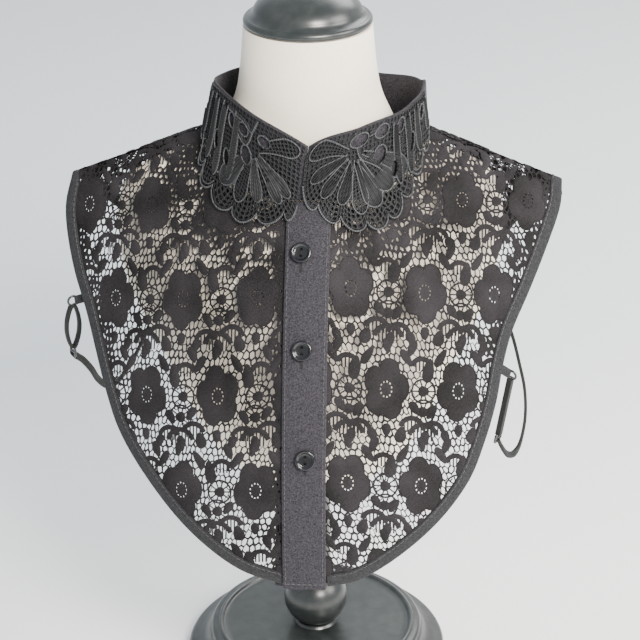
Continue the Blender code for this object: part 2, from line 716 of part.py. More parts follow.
def build_strap(side, garment):
    sign = -1.0 if side == "left" else 1.0
    ring, slider = np.array(RINGS[side]), np.array(SLIDERS[side])
    run = unit(slider - ring)
    outward = unit((sign, -0.6, 0.0))
    across = unit(np.cross(run, outward))
    outward = np.cross(across, run)

    bpy.ops.mesh.primitive_torus_add(major_segments=16, minor_segments=6, major_radius=RING_RADIUS * MM,
                                     minor_radius=RING_WIRE * MM)
    wire = bpy.context.object
    wire.name = f"strap_ring_{side}"
    wire.data.materials.append(MATERIALS["ring"])
    wire.data.shade_smooth()
    for owner in list(wire.users_collection):
        owner.objects.unlink(wire)
    PARTS.objects.link(wire)
    wire.parent = garment
    wire.location = Vector(ring) * MM
    wire.rotation_euler = Vector(across).to_track_quat("Z", "Y").to_euler()

    reach = RING_RADIUS + RING_WIRE + GAP
    root = on_wall(*TAB_ROOTS[side], -BINDING_HALF - GAP - TAB_WALL)
    facing = (root - on_wall(*TAB_ROOTS[side])) * (-sign, -1, -1)
    root = root * (sign, 1, 1)
    tip = ring + unit(root - ring) * reach
    tab = [root + (tip - root) * share for share in np.linspace(0, 1, 3)]
    loft(f"strap_tab_{side}", strap_rings(tab, facing, TAB_WIDTH, TAB_WALL), "cloth", garment)

    length = np.linalg.norm(slider - ring)
    low = length - SLIDER_HALF_HEIGHT - GAP
    spread = STRAP_SPREAD[side]
    for strand, name in ((1.0, "outer"), (-1.0, "inner")):
        points = []
        for share in np.linspace(0, 1, 9):
            along = reach + (low - reach) * share
            bow = strand * (STRAP_WALL * 0.5 + 0.2 + spread * math.sin(math.pi * share) ** 0.8)
            points.append(ring + run * along + outward * bow)
        loft(f"strap_{name}_{side}", strap_rings(points, outward, STRAP_WIDTH, STRAP_WALL), "strap", garment)

    build_slider(f"strap_slider_{side}", slider, run, outward, garment)
    route = curve_through(STRAP_ROUTES[side], 26)
    loft(f"strap_long_{side}", strap_rings(route, (sign, 0.12, 0.2), STRAP_WIDTH, STRAP_WALL), "strap", garment)


def build_slider(name, middle, run, outward, garment):
    """A flat adjuster plate with two slots and a bar between them."""
    curve = bpy.data.curves.new(name, "CURVE")
    curve.dimensions = "2D"
    curve.fill_mode = "BOTH"
    curve.extrude = 0.8 * MM
    slots = ((0.0, SLIDER_HALF_WIDTH, SLIDER_HALF_HEIGHT), (1.6, SLIDER_HALF_WIDTH - 1.2, 0.85),
             (-1.6, SLIDER_HALF_WIDTH - 1.2, 0.85))
    for high, half_width, half_height in slots:
        spline = curve.splines.new("POLY")
        corner = min(0.9, half_height * 0.6)
        outline = [(sx * (half_width - cx * corner), high + sy * (half_height - cy * corner))
                   for sx, sy, order in ((1, 1, 1), (-1, 1, 0), (-1, -1, 1), (1, -1, 0))
                   for cx, cy in (((0, 1), (1, 0)) if order else ((1, 0), (0, 1)))]
        spline.points.add(len(outline) - 1)
        for spot, (x, y) in zip(spline.points, outline):
            spot.co = (x * MM, y * MM, 0.0, 1.0)
        spline.use_cyclic_u = True
    item = bpy.data.objects.new(name, curve)
    curve.materials.append(MATERIALS["ring"])
    PARTS.objects.link(item)
    item.parent = garment
    up = -run
    turn = Matrix((np.cross(up, outward), up, outward)).transposed()
    item.matrix_local = Matrix.Translation(Vector(middle) * MM) @ turn.to_4x4()


clear_scene()
PARTS = make_collection("detachable_collar")
CUTTERS = make_collection("cutters")
MATERIALS = {name: make_material(name) for name in COLOURS}

sit = bpy.data.objects.new("garment_seat", None)
PARTS.objects.link(sit)
sit.location = (GARMENT_SHIFT * MM, 0.0, 0.0)
sit.rotation_euler = Euler((0.0, 0.0, math.radians(GARMENT_TURN)))

build_stand()
build_form()
build_fronts(sit)
build_back(sit)
build_bindings(sit)
build_band(sit)
build_lobes(sit)
build_closure(sit)
for strap_side in ("left", "right"):
    build_strap(strap_side, sit)
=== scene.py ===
"""Looks of the detachable lace collar on its limbless dress form.

Sizes are in millimetres, in the garment's own frame, and MM turns them into metres. The
garment's shape repeats the named sizes of the solids, so each piece lies where its solid is.
Left and right are as seen from the front: left is -X, and the front faces -Y.
"""

import math

import bmesh
import bpy
import numpy as np
from mathutils import Matrix, Vector


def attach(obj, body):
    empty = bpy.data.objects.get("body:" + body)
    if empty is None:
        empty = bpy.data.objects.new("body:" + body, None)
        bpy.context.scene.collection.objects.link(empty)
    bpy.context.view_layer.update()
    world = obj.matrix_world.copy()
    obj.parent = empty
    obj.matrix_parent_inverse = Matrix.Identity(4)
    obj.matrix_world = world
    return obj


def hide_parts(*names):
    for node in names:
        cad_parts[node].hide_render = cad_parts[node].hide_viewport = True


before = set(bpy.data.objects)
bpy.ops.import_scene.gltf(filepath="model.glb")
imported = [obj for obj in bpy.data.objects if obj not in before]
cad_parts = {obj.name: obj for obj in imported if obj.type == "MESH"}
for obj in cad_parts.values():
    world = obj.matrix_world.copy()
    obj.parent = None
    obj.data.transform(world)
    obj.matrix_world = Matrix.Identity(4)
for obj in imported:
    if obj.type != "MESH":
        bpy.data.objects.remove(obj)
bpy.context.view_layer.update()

MM = 0.001

# Camera, from the ellipses of the turned base and cap
CAMERA_FOCAL_PX = 2111.0
CAMERA_EYE = (0.0, -1130.0, 786.0)
CAMERA_PITCH = 25.95
CAMERA_YAW = 0.243
CAMERA_ROLL = -0.68
IMAGE_PX = 640.0
STUDIO_FRONT = -3.0
STUDIO_BACK = 1.7
STUDIO_BEND = 0.5
STUDIO_HEIGHT = 3.0
STUDIO_HALF = 3.5
WORLD_STRENGTH = 0.90
FLOOR_EDGE = 0.1
WALL_FADE = 0.35

# Shape of the garment, as in the solids
GARMENT_TURN = -4.5
GARMENT_SHIFT = 4.0
NECK_HALF_WIDTH = 63.0
NECK_FRONT = 57.0
NECK_BACK = 50.0
NECK_SIDE_HEIGHT = 357.5
SHOULDER_SLOPE = 0.378
RIDGE_EASE = 14.0
BINDING_WIDTH = 7.6
BINDING_HALF = 1.36
SHOULDER_GAP = 0.8
BAND_HEIGHT = 27.5
BAND_LEAN = 4.0
BAND_SHIFT = 2.4
BAND_WALL = 1.6
BAND_SEAT = 1.3
BAND_SLIT = 0.3
V_DROP = 20.0
V_TURN = -2.7
BAND_BACK_DROP = 3.0
LOBE_TURN = -4.5
LOBE_START = 3.0
LOBE_OUT = 3.6
FOLD_OUT = 1.8
FOLD_SLANT = 1.8
SLANT_DROP = 8.0
FOLD_RISES = ((-180.0, -3.0), (-150.0, 0.0), (-110.0, 0.0), (-65.0, 3.5), (-28.0, 0.0), (0.0, 1.0),
              (27.0, -3.7), (50.0, -4.7), (70.0, -2.0), (88.0, 1.5), (110.0, -2.5), (150.0, -5.8),
              (180.0, -3.0))
PLACKET_WIDTH = 24.0
PLACKET_WALL = 1.6
PLACKET_OUT = 1.8
PLACKET_TOP = 335.4
PLACKET_BOTTOM = 132.5
UNDER_OUT = -2.66
UNDER_SHIFT = 1.0
UNDER_SKEW = 4.2
UNDER_DROP = 1.2

FRONT_EDGES = {
    "left": ((142.0, 328.0), (144.6, 315.0), (143.0, 301.0), (137.5, 282.0), (129.5, 263.5), (123.6, 246.0),
             (116.5, 224.5), (107.5, 204.0), (90.0, 182.0), (66.0, 159.0), (38.0, 141.0), (13.0, 134.0)),
    "right": ((140.5, 328.0), (139.3, 317.0), (131.2, 298.0), (122.6, 280.0), (113.4, 261.8), (108.6, 245.0),
              (105.3, 226.5), (99.4, 206.5), (91.0, 186.5), (75.0, 167.0), (53.0, 149.5), (31.0, 136.8),
              (13.0, 133.0)),
}
BACK_EDGE = ((141.0, 328.0), (127.0, 308.0), (114.0, 288.0), (106.0, 265.0), (101.0, 241.0),
             (92.0, 220.0), (74.0, 206.0), (40.0, 199.5), (0.0, 198.0))

# Lace: net cells, floral repeat and thicknesses
CELL_WIDTH = 3.0
CELL_HEIGHT = 5.5
NET_OPEN = 0.80
NET_LEAN = 0.2
NET_WALL = 0.45
REPEAT_ACROSS = 47.0
REPEAT_DOWN = 54.0
ROW_SLOPE = 0.2
FLOWER_RADIUS = 12.2
FLOWER_STRETCH = 1.36
EYELET_RING = (2.4, 3.9)
EYELET_OPEN = 0.5
FLOWER_PETALS = 5
FLOWER_SECTORS = 11
SECTOR_POINTS = 4
FLOWER_CORD = (0.42, 0.36)
BUD_RAYS = 10
HOLE_SPREAD = (0.86, 1.08)
NET_MARGIN = 0.5
FIGURE_MARGIN = 2.4
PLATE_OUT = 0.25
PLATE_HALF = 0.38
LADDER_PITCH = 2.1
LACE_UNDER_BINDING = 4.0
PATTERN_LEVEL = 300.0
FIRST_FLOWERS = {"left": (27.0, 6.0), "right": (24.0, 0.0)}
FLOWER_PITCH = {"left": 44.0, "right": 41.0}
LACE_SEEDS = {"left": 5, "right": 9, "back": 13}
SEAM_GAP = 0.7
SHARP_ANGLE = 50.0
NECK_POINTS = 40
SHOULDER_POINTS = 18
SEAM_STRIP = 5.0
EDGE_STRIP = (9.0, 12.0)
EDGE_STRIP_POINTS = 22
CLOSURE_STRIP = {"left": 17.5, "right": 0.0}

# Lobes: hub and fan of each, as turn and drop, and the sizes of their threads
LOBE_NOTCHES = {
    "left": ((-5.4, 35.0), (-11.0, 41.5), (-24.0, 51.0), (-37.0, 55.0), (-52.0, 51.5), (-63.0, 44.5),
             (-72.0, 32.0), (-81.0, 17.5)),
    "right": ((-3.6, 23.0), (4.0, 36.0), (14.0, 46.5), (25.5, 53.0), (36.0, 53.5), (46.0, 45.0),
              (56.0, 36.0), (67.0, 29.0), (79.0, 18.5)),
}
SCALLOP_BULGE = 7.0
LOBE_GAPS = {
    "left": ((-25.5, 10.5, 3.6, 2.5), (-35.0, 23.0, 3.3, 4.6), (-38.5, 10.5, 3.2, 3.0),
             (-47.0, 10.0, 2.4, 3.6), (-57.0, 27.0, 2.3, 5.4), (-47.5, 32.0, 2.3, 4.4)),
    "right": ((24.0, 6.5, 5.0, 3.2), (35.5, 19.0, 4.0, 5.0), (37.0, 6.0, 4.2, 3.2), (49.5, 6.5, 2.6, 3.4),
              (44.0, 29.5, 2.4, 4.6), (57.5, 20.0, 2.4, 5.0), (69.0, 8.0, 2.4, 3.6)),
}
LOBE_HUBS = {"left": (-31.0, 18.0), "right": (21.0, 12.5)}
LOBE_FAN = {"left": 4, "right": 6}
LOBE_FINGERS = {
    "left": ((-43.0, 2.0, 43.0, 2.6), (-53.0, 1.5, 46.0, 2.8), (-62.0, 1.5, 40.0, 2.6),
             (-71.0, 1.5, 28.0, 2.4)),
    "right": ((46.0, 2.0, 39.0, 2.6), (54.0, 1.5, 36.0, 2.8), (63.0, 1.5, 28.0, 2.6), (73.0, 1.5, 20.0, 2.4)),
}
LOBE_STEMS = (((0.0, 0.0), (2.0, 8.0), (9.0, 5.0), (20.0, 4.0)), ((0.0, 0.0), (4.0, 16.0), (11.0, 14.0)))
PETAL_STYLES = ("ribbed", "both", "ribbed", "meshed")
PETAL_REACH = 0.84
PETAL_SHARE = 0.122
PETAL_LEAST = 4.0
CELL_OPEN = 0.77
NET_ROW = 2.6
GROUND_CELL = 2.6
GUIPURE_HALF = 0.36
RIB_RISE = 0.6
CORD = 0.40

# Sections of cloth strips: place across and height, in halves of the width and thickness
BIAS = ((0.0, 0.82), (0.06, 0.95), (0.14, 0.86), (0.22, 0.98), (0.5, 1.0), (0.75, 0.95), (0.92, 0.7),
        (1.0, 0.0), (0.92, -0.7), (0.75, -0.95), (0.5, -1.0), (0.22, -0.98), (0.0, -0.82))
STRAP_SECTION = ((-1.0, 0.0), (-0.93, 0.8), (-0.7, 1.0), (0.0, 1.0), (0.7, 1.0), (0.93, 0.8), (1.0, 0.0),
                 (0.93, -0.8), (0.7, -1.0), (0.0, -1.0), (-0.7, -1.0), (-0.93, -0.8))
ROUND_BAR = tuple((math.cos(math.radians(a)), math.sin(math.radians(a))) for a in range(0, 360, 36))

# Closure
STITCH_INSET = 1.7
HEM_INSET = 3.2
BUTTON_RADIUS = 5.8
HOLE_RADIUS = 0.85
HOLE_SPACING = 1.7
BUTTON_CLEAR = 0.45
THREAD_ROWS = (-0.32, 0.32)
THREAD_RADIUS = 0.26
STITCH_RADIUS = 0.17
LOOSE_RADIUS = 0.16
BUTTONHOLE_RADIUS = 0.24
BUTTONHOLE_HALF = 0.45
BUTTONHOLE_DOWN = 8.6
BUTTONHOLE_UP = 5.0
BUTTON_PLACES = {"button_top": (-3.1, 312.7), "button_middle": (-1.5, 266.7), "button_low": (0.9, 210.3)}
BUTTON_TILT = {"button_top": 0.0, "button_middle": 0.0, "button_low": -0.06}
LOOSE_THREADS = (
    ((1.0, 134.0, 0.8), (0.6, 131.0, 1.2), (1.6, 128.0, 1.4), (0.9, 125.5, 1.0)),
    ((-7.0, 129.5, -1.4), (-5.0, 127.0, -1.0), (-2.6, 128.2, -0.8), (-1.0, 130.0, -0.9)),
)

# Straps
STRAP_WIDTH = 4.0
STRAP_WALL = 1.1
ELASTIC_THICK = 1.9
RING_RADIUS = 2.9
RING_WIRE = 0.7
RING_POINTS = 48
WIRE_POINTS = 14
STRAND_POINTS = 40
LONG_STRAP_POINTS = 120
SLIDER_HALF_HEIGHT = 3.5
SLIDER_HALF_WIDTH = 3.9
TAB_ROOTS = {"left": (127.5, 272.0), "right": (105.0, 246.0)}
TAB_WALL = 1.2
STRAP_SPREAD = {"left": 3.2, "right": 0.0}
RINGS = {"left": (-138.9, -40.5, 264.9), "right": (113.6, -61.5, 234.0)}
SLIDERS = {"left": (-140.6, -41.5, 233.0), "right": (107.4, -49.0, 187.0)}
STRAP_ROUTES = {
    "left": ((-139.6, -38.6, 228.6), (-137.0, -32.0, 222.5), (-134.0, -24.0, 212.5), (-132.0, -15.0, 201.0),
             (-128.5, -4.0, 191.0), (-124.0, 12.0, 187.0), (-117.5, 29.0, 193.0), (-110.5, 44.0, 205.5),
             (-104.2, 54.5, 219.0)),
    "right": ((108.2, -46.6, 182.3), (110.4, -43.2, 176.0), (113.6, -37.0, 168.6), (117.6, -30.0, 165.5),
              (121.4, -22.0, 169.0), (124.0, -12.0, 180.5), (123.4, -1.0, 193.5), (120.0, 11.0, 205.0),
              (116.6, 23.0, 214.0), (112.0, 38.0, 222.0), (106.0, 52.5, 230.0)),
}
STRAP_ENDS = {
    "left": ((95.0, 222.0, 4.0), (90.0, 224.5, 2.4)),
    "right": ((99.0, 232.0, 4.0), (93.5, 234.0, 2.4)),
}

# Stand and form
BASE_RADIUS = 81.6
BASE_STEP_RADIUS = 66.7
BASE_RIM_HEIGHT = 8.0
BASE_HEIGHT = 24.0
BEAD_RADIUS = 1.6
KNOB_RADIUS = 20.0
KNOB_HEIGHT = 36.0
POST_RADIUS = 9.7
FORM_BOTTOM = 127.0
CAP_BOTTOM = 420.3
CAP_RADIUS = 36.3
CAP_LIP = 5.0
TURNED_GAP = 0.3
FORM_AROUND = 96
TURNED_AROUND = 96
ROUND_AROUND = 160
CAP_RISE = 22.0
FORM_SECTIONS = (
    (127.0, 11.0, 10.0, 9.0, 2.0),
    (129.5, 22.0, 20.0, 18.0, 2.0),
    (136.0, 34.0, 33.0, 28.0, 2.0),
    (147.0, 47.0, 47.0, 38.0, 2.0),
    (163.0, 61.0, 62.0, 48.0, 2.0),
    (188.0, 74.0, 76.0, 56.0, 2.0),
    (218.0, 86.0, 86.0, 60.0, 2.0),
    (248.0, 100.0, 90.0, 62.0, 1.9),
    (275.0, 109.5, 88.0, 62.0, 1.75),
    (300.0, 112.0, 77.5, 60.0, 1.55),
    (318.0, 110.0, 64.5, 57.0, 1.4),
    (331.0, 104.0, 52.5, 52.0, 1.3),
    (340.0, 92.0, 44.5, 46.0, 1.27),
    (346.0, 77.0, 40.0, 42.0, 1.3),
    (351.0, 62.0, 38.0, 40.0, 1.5),
    (357.0, 52.0, 37.5, 38.5, 1.75),
    (366.0, 47.5, 37.5, 38.0, 2.0),
    (380.0, 41.5, 36.5, 36.5, 2.0),
    (396.0, 38.5, 35.5, 35.5, 2.0),
    (420.0, 36.3, 35.0, 35.0, 2.0),
)


# Surfaces: the cloth of the front and back


def ridge_height(x):
    """The shoulder line, straight from neck to tip and eased over the middle of the neck."""
    past_neck = np.hypot(x, RIDGE_EASE) - math.hypot(NECK_HALF_WIDTH, RIDGE_EASE)
    return NECK_SIDE_HEIGHT - SHOULDER_SLOPE * past_neck


def normalised(vectors):
    return vectors / np.maximum(np.linalg.norm(vectors, axis=-1, keepdims=True), 1e-9)


def between(table, i, j):
    """A table's values at places between its rows i and columns j."""
    i, j = np.clip(i, 0, table.shape[0] - 1.001), np.clip(j, 0, table.shape[1] - 1.001)
    a, b = i.astype(int), j.astype(int)
    s, t = i - a, j - b
    if table.ndim == 3:
        s, t = s[:, None], t[:, None]
    return ((1 - s) * (1 - t) * table[a, b] + s * (1 - t) * table[a + 1, b]
            + (1 - s) * t * table[a, b + 1] + s * t * table[a + 1, b + 1])


def running(points):
    """How far along a line each of its points lies."""
    return np.r_[0, np.cumsum(np.linalg.norm(np.diff(points, axis=0), axis=1))]


def along_line(points, run, at):
    """The points of a line at given distances along it."""
    return np.stack([np.interp(at, run, points[:, k]) for k in range(points.shape[1])], axis=-1)


class Wall:
    """The front or back cloth, from a place sideways and an angle down from the ridge.

    Its flat pattern has a place across and a place down, in millimetres of cloth.
    """

    def __init__(self, far, radius, drop, power, side):
        self.far, self.radius, self.drop, self.power, self.side = far, radius, drop, power, side
        self.xs = np.linspace(-156.0, 156.0, 313)
        across = 0.5 * np.abs(self.xs[1:] + self.xs[:-1])
        slope = 0.8 * across / np.sqrt(radius ** 2 - across ** 2)
        self.flat_xs = np.r_[0, np.cumsum(np.hypot(1.0, slope))]
        self.flat_xs -= self.flat_xs[len(self.xs) // 2]
        angles = np.linspace(0.0, 2.4, 481)
        spots = self.spot(self.xs[:, None], angles[None, :])
        runs = np.linalg.norm(np.diff(spots, axis=1), axis=2)
        runs = np.concatenate([np.zeros((len(self.xs), 1)), np.cumsum(runs, axis=1)], axis=1)
        level = self.angle_at_height(self.xs, np.minimum(PATTERN_LEVEL, ridge_height(self.xs)))
        runs -= np.array([np.interp(level[i], angles, runs[i]) for i in range(len(self.xs))])[:, None]
        self.downs = np.linspace(-110.0, 260.0, 741)
        self.angle_table = np.array([np.interp(self.downs, row, angles) for row in runs])

    def reach(self, x):
        return self.far - (self.radius - np.sqrt(self.radius ** 2 - np.asarray(x) ** 2))

    def spot(self, x, angle):
        curved = np.clip(angle, 0.0, math.pi / 2)
        y = self.side * self.reach(x) * np.sin(curved) ** (2 * self.power)
        z = ridge_height(x) - self.drop * (1 - np.cos(curved) + np.maximum(angle - curved, 0.0))
        return np.stack(np.broadcast_arrays(x, y, z), axis=-1)

    def angle_at_height(self, x, z):
        down = np.maximum((ridge_height(x) - z) / self.drop, 0.0)
        return np.where(down < 1.0, np.arccos(1 - np.minimum(down, 1.0)), math.pi / 2 + down - 1.0)

    def angle_at_reach(self, x, y):
        share = np.minimum(np.abs(y) / self.reach(x), 1.0)
        return np.arcsin(share ** (0.5 / self.power))

    def place(self, x, angle, out=0.0):
        """Points of the cloth, moved out along its normal."""
        x, angle, out = np.broadcast_arrays(np.asarray(x, float), angle, out)
        e = 0.002
        down = self.spot(x, angle + e) - self.spot(x, np.maximum(angle - e, 0.0002))
        along = self.spot(x + 0.05, angle) - self.spot(x - 0.05, angle)
        normal = normalised(np.cross(along, down))
        facing = normal[..., 1] * self.side + 0.2 * normal[..., 2]
        normal = normal * np.where(facing > 0, 1.0, -1.0)[..., None]
        return self.spot(x, angle) + out[..., None] * normal

    def at_height(self, x, z, out=0.0):
        return self.place(x, self.angle_at_height(x, z), out)

    def flat(self, x, angle):
        """The flat pattern's place of a point of the cloth, given as x and angle."""
        across = np.interp(x, self.xs, self.flat_xs)
        downs = np.array([np.interp(a, self.column(v), self.downs)
                          for v, a in zip(np.ravel(x), np.ravel(angle))])
        return np.stack([across, downs.reshape(np.shape(x)) - ROW_SLOPE * np.abs(across)], axis=-1)

    def column(self, x):
        place = np.clip((x - self.xs[0]) / (self.xs[1] - self.xs[0]), 0, len(self.xs) - 1.001)
        i = int(place)
        row = self.angle_table[i] * (1 - place + i) + self.angle_table[i + 1] * (place - i)
        return row + np.arange(len(row)) * 1e-9

    def bend(self, points):
        """Bends the flat pattern's points, across, down and out, onto the cloth."""
        across, down, out = points[:, 0], points[:, 1], points[:, 2]
        x = np.interp(across, self.flat_xs, self.xs)
        true_down = down + ROW_SLOPE * np.abs(across)
        i = (x - self.xs[0]) / (self.xs[1] - self.xs[0])
        j = (true_down - self.downs[0]) / (self.downs[1] - self.downs[0])
        return self.place(x, np.maximum(between(self.angle_table, i, j), 0.003), out)


FRONT = Wall(130.0, 200.0, 242.3, 0.70, -1.0)
BACK = Wall(76.0, 170.0, 130.0, 0.45, 1.0)


def to_world(points):
    """From the garment's frame, in millimetres, to the part's frame, in metres."""
    c, s = math.cos(math.radians(GARMENT_TURN)), math.sin(math.radians(GARMENT_TURN))
    x, y, z = points[..., 0], points[..., 1], points[..., 2]
    return np.stack([c * x - s * y + GARMENT_SHIFT, s * x + c * y, z], axis=-1) * MM


def neck_plan(turn, grow=0.0):
    angle = np.radians(turn)
    deep = np.where(np.cos(angle) > 0, NECK_FRONT, NECK_BACK)
    return np.stack([(NECK_HALF_WIDTH + grow) * np.sin(angle), -(deep + grow) * np.cos(angle)], axis=-1)


def cloth_height(x, y):
    front = FRONT.spot(x, FRONT.angle_at_reach(x, y))[..., 2]
    back = BACK.spot(x, BACK.angle_at_reach(x, y))[..., 2]
    return np.where(y < 0, front, back)


def band_bottom(turn, out=0.0):
    plan, seat = neck_plan(turn, out), neck_plan(turn)
    return np.concatenate([plan, (cloth_height(seat[..., 0], seat[..., 1]) + BAND_SEAT)[..., None]], axis=-1)


def fold_rise(turn):
    """How far the fold line stands above its plain curve, eased between the rows."""
    turns, rises = np.transpose(FOLD_RISES)
    i = np.clip(np.searchsorted(turns, turn, side="right") - 1, 0, len(turns) - 2)
    share = (turn - turns[i]) / (turns[i + 1] - turns[i])
    return rises[i] + (rises[i + 1] - rises[i]) * share ** 2 * (3 - 2 * share)


def band_top(turn, out=0.0):
    plan = neck_plan(turn, out - BAND_LEAN) + (BAND_SHIFT, 0.0)
    off = np.radians(np.minimum(np.abs(turn - V_TURN), 90.0))
    z = NECK_SIDE_HEIGHT + BAND_SEAT + BAND_HEIGHT - V_DROP * (1 - np.sin(off)) ** 2 + fold_rise(turn)
    z = z - BAND_BACK_DROP * np.maximum(-np.cos(np.radians(turn)), 0)
    return np.concatenate([plan, z[..., None]], axis=-1)


class Lobe:
    """The turned-over lobe's surface: flat places across from the front and down from the fold."""

    def __init__(self, sign):
        self.sign = sign
        self.turns = LOBE_TURN + sign * np.linspace(-LOBE_START, 93.0, 97)
        self.drops = np.linspace(0.0, 74.0, 149)
        top, low = band_top(self.turns, FOLD_OUT), band_bottom(self.turns, LOBE_OUT)
        rows = [top + (low - top) * share for share in np.linspace(0, 1, 8)]
        for grow in np.linspace(2.0, 70.0, 35):
            plan = neck_plan(self.turns, grow)
            rows.append(FRONT.place(plan[:, 0], FRONT.angle_at_reach(plan[:, 0], plan[:, 1]), LOBE_OUT))
        lines = np.array(rows).transpose(1, 0, 2)
        for _ in range(6):
            lines[:, 1:-1] = lines[:, 1:-1] * 0.5 + (lines[:, :-2] + lines[:, 2:]) * 0.25
        grid = []
        for line in lines:
            grid.append(along_line(line, running(line), self.drops))
        self.grid = np.array(grid)
        normal = normalised(np.cross(np.gradient(self.grid, axis=0), np.gradient(self.grid, axis=1)))
        outward = (normal[..., :2] * self.grid[..., :2]).sum(-1) + normal[..., 2] * 40.0
        self.normals = normal * np.sign(outward)[..., None]

    def bend(self, points):
        across, down, out = points[:, 0], points[:, 1], points[:, 2]
        slant = FOLD_SLANT * np.maximum(1 - down / SLANT_DROP, 0) * np.clip(1 - across / 80.0, 0, 1)
        i = across / lobe_scale(down) + LOBE_START + self.sign * slant
        j = down / (self.drops[1] - self.drops[0])
        return between(self.grid, i, j) + out[:, None] * normalised(between(self.normals, i, j))


def lobe_scale(down):
    """Millimetres across the lobe for each degree round the neck."""
    return 1.08 * (1 + 0.0035 * np.asarray(down))


# Flat patterns, which a surface bends afterwards


LENS = ((-1.0, 0.0), (0.0, 1.0), (1.0, 0.0), (0.0, -1.0))
ROUND = tuple((math.cos(math.radians(a)), math.sin(math.radians(a))) for a in range(0, 360, 60))


def smooth_path(points, count):
    """Evenly spaced points on a smooth curve through the given ones."""
    p = np.array(points, float)
    p = np.vstack([2 * p[0] - p[1], p, 2 * p[-1] - p[-2]])
    t = np.linspace(0, 1, 12, endpoint=False)[:, None]
    fine = [0.5 * (2 * p[i] + (p[i + 1] - p[i - 1]) * t
                   + (2 * p[i - 1] - 5 * p[i] + 4 * p[i + 1] - p[i + 2]) * t ** 2
                   + (3 * p[i] - p[i - 1] - 3 * p[i + 1] + p[i + 2]) * t ** 3) for i in range(1, len(p) - 2)]
    return resample(np.vstack(fine + [p[-2][None, :]]), count)


def side_sign(side):
    return -1.0 if side == "left" else 1.0


def resample(path, count):
    run = running(path)
    return along_line(path, run, np.linspace(0, run[-1], count))


class Flat:
    """A pattern of points across, down and out, with its faces, still flat."""

    def __init__(self):
        self.points, self.faces, self.slots, self.count, self.limit = [], [], [], 0, None

    def add(self, points, faces, slot=0):
        self.points.append(np.asarray(points, float))
        self.faces += [tuple(int(i) + self.count for i in face) for face in faces]
        self.slots += [slot] * len(faces)
        self.count += len(points)

    def sweep(self, path, half, height=None, out=0.0, profile=LENS, closed=False):
        """A closed strip or cord along a path: half is its half width, height its half thickness."""
        path = np.asarray(path, float)
        if len(path) < 4 and not closed:
            path = resample(path, 4)
        height = half if height is None else height
        inside = self.limit(path) if self.limit else np.ones(len(path), bool)
        if closed and not inside.all():
            path, inside, closed = np.vstack([path, path[:1]]), np.r_[inside, inside[0]], False
        ahead = np.roll(path, -1, 0) - np.roll(path, 1, 0) if closed else np.gradient(path, axis=0)
        side = normalised(np.stack([-ahead[:, 1], ahead[:, 0]], axis=-1))
        slot = int(profile is ROUND)
        profile = np.array(profile)
        m = len(profile)
        ring = path[:, None, :] + side[:, None, :] * (half * profile[None, :, 0])[..., None]
        rise = np.broadcast_to(out + height * profile[:, 1], (len(path), m))
        points = np.concatenate([ring, rise[..., None]], axis=-1)
        if closed:
            self.add(points.reshape(-1, 3), strip_faces(len(path), m, True), slot)
            return
        changes = np.flatnonzero(np.diff(np.r_[0, inside.astype(int), 0]))
        for start, stop in zip(changes[::2], changes[1::2]):
            if stop - start > 1:
                self.add(points[start:stop].reshape(-1, 3), strip_faces(stop - start, m, False), slot)

    def plate(self, points, face_groups, half):
        """A flat sheet of faces made into a closed plate, half above and half below."""
        points = np.asarray(points, float)
        n = len(points)
        solid = []
        half_edges = []
        for faces in face_groups:
            if self.limit:
                faces = faces[self.limit(points[faces, :2].mean(1))]
            solid += faces.tolist()
            solid += (faces[:, ::-1] + n).tolist()
            half_edges.append(np.stack([faces, np.roll(faces, -1, 1)], axis=-1).reshape(-1, 2))
        ends = np.concatenate(half_edges)
        lone = ends[~np.isin(ends[:, 0] * n + ends[:, 1], ends[:, 1] * n + ends[:, 0])]
        solid += np.stack([lone[:, 1], lone[:, 0], lone[:, 0] + n, lone[:, 1] + n], axis=-1).tolist()
        lift = np.zeros((n, 3))
        lift[:, 2] = half
        if solid:
            self.add(np.vstack([points + lift, points - lift]), solid)

    def build(self, name, bend, material, cord_material=None):
        """The bent piece; its round cords take a material of their own where one is given."""
        points = np.vstack(self.points)
        used = np.zeros(len(points), bool)
        used[np.concatenate([np.array(face) for face in self.faces])] = True
        number = np.cumsum(used) - 1
        faces = [tuple(number[list(face)].tolist()) for face in self.faces]
        points = points[used]
        item = mesh_object(name, to_world(bend(points)), faces, material)
        if cord_material:
            item.data.materials.append(cord_material)
            item.data.polygons.foreach_set("material_index", self.slots)
        add_cloth_place(item, points[:, :2])
        return item


def strip_faces(n, m, closed):
    """Faces of n sections of m points each, with end caps or joined into a ring."""
    faces = []
    last = n if closed else n - 1
    for i in range(last):
        low, high = i * m, ((i + 1) % n) * m
        for k in range(m):
            j = (k + 1) % m
            faces.append((low + k, high + k, high + j, low + j))
    if not closed:
        faces.append(tuple(range(m)))
        faces.append(tuple(reversed(range((n - 1) * m, n * m))))
    return faces


def ring_faces(rows, count):
    """Faces between rows of points that each go round."""
    k = np.arange(count)
    return np.concatenate([np.stack([i * count + k, i * count + (k + 1) % count,
                                     (i + 1) * count + (k + 1) % count, (i + 1) * count + k], axis=-1)
                           for i in range(rows - 1)])


def grid_faces(rows, columns):
    i, j = np.meshgrid(np.arange(rows), np.arange(columns), indexing="ij")
    a = (i * (columns + 1) + j).ravel()
    return np.stack([a, a + 1, a + columns + 2, a + columns + 1], axis=-1)


def oval(across, down, count):
    """Points of an oval about the origin."""
    angle = np.arange(count) / count * 2 * math.pi
    return np.stack([across * np.cos(angle), down * np.sin(angle)], axis=-1)


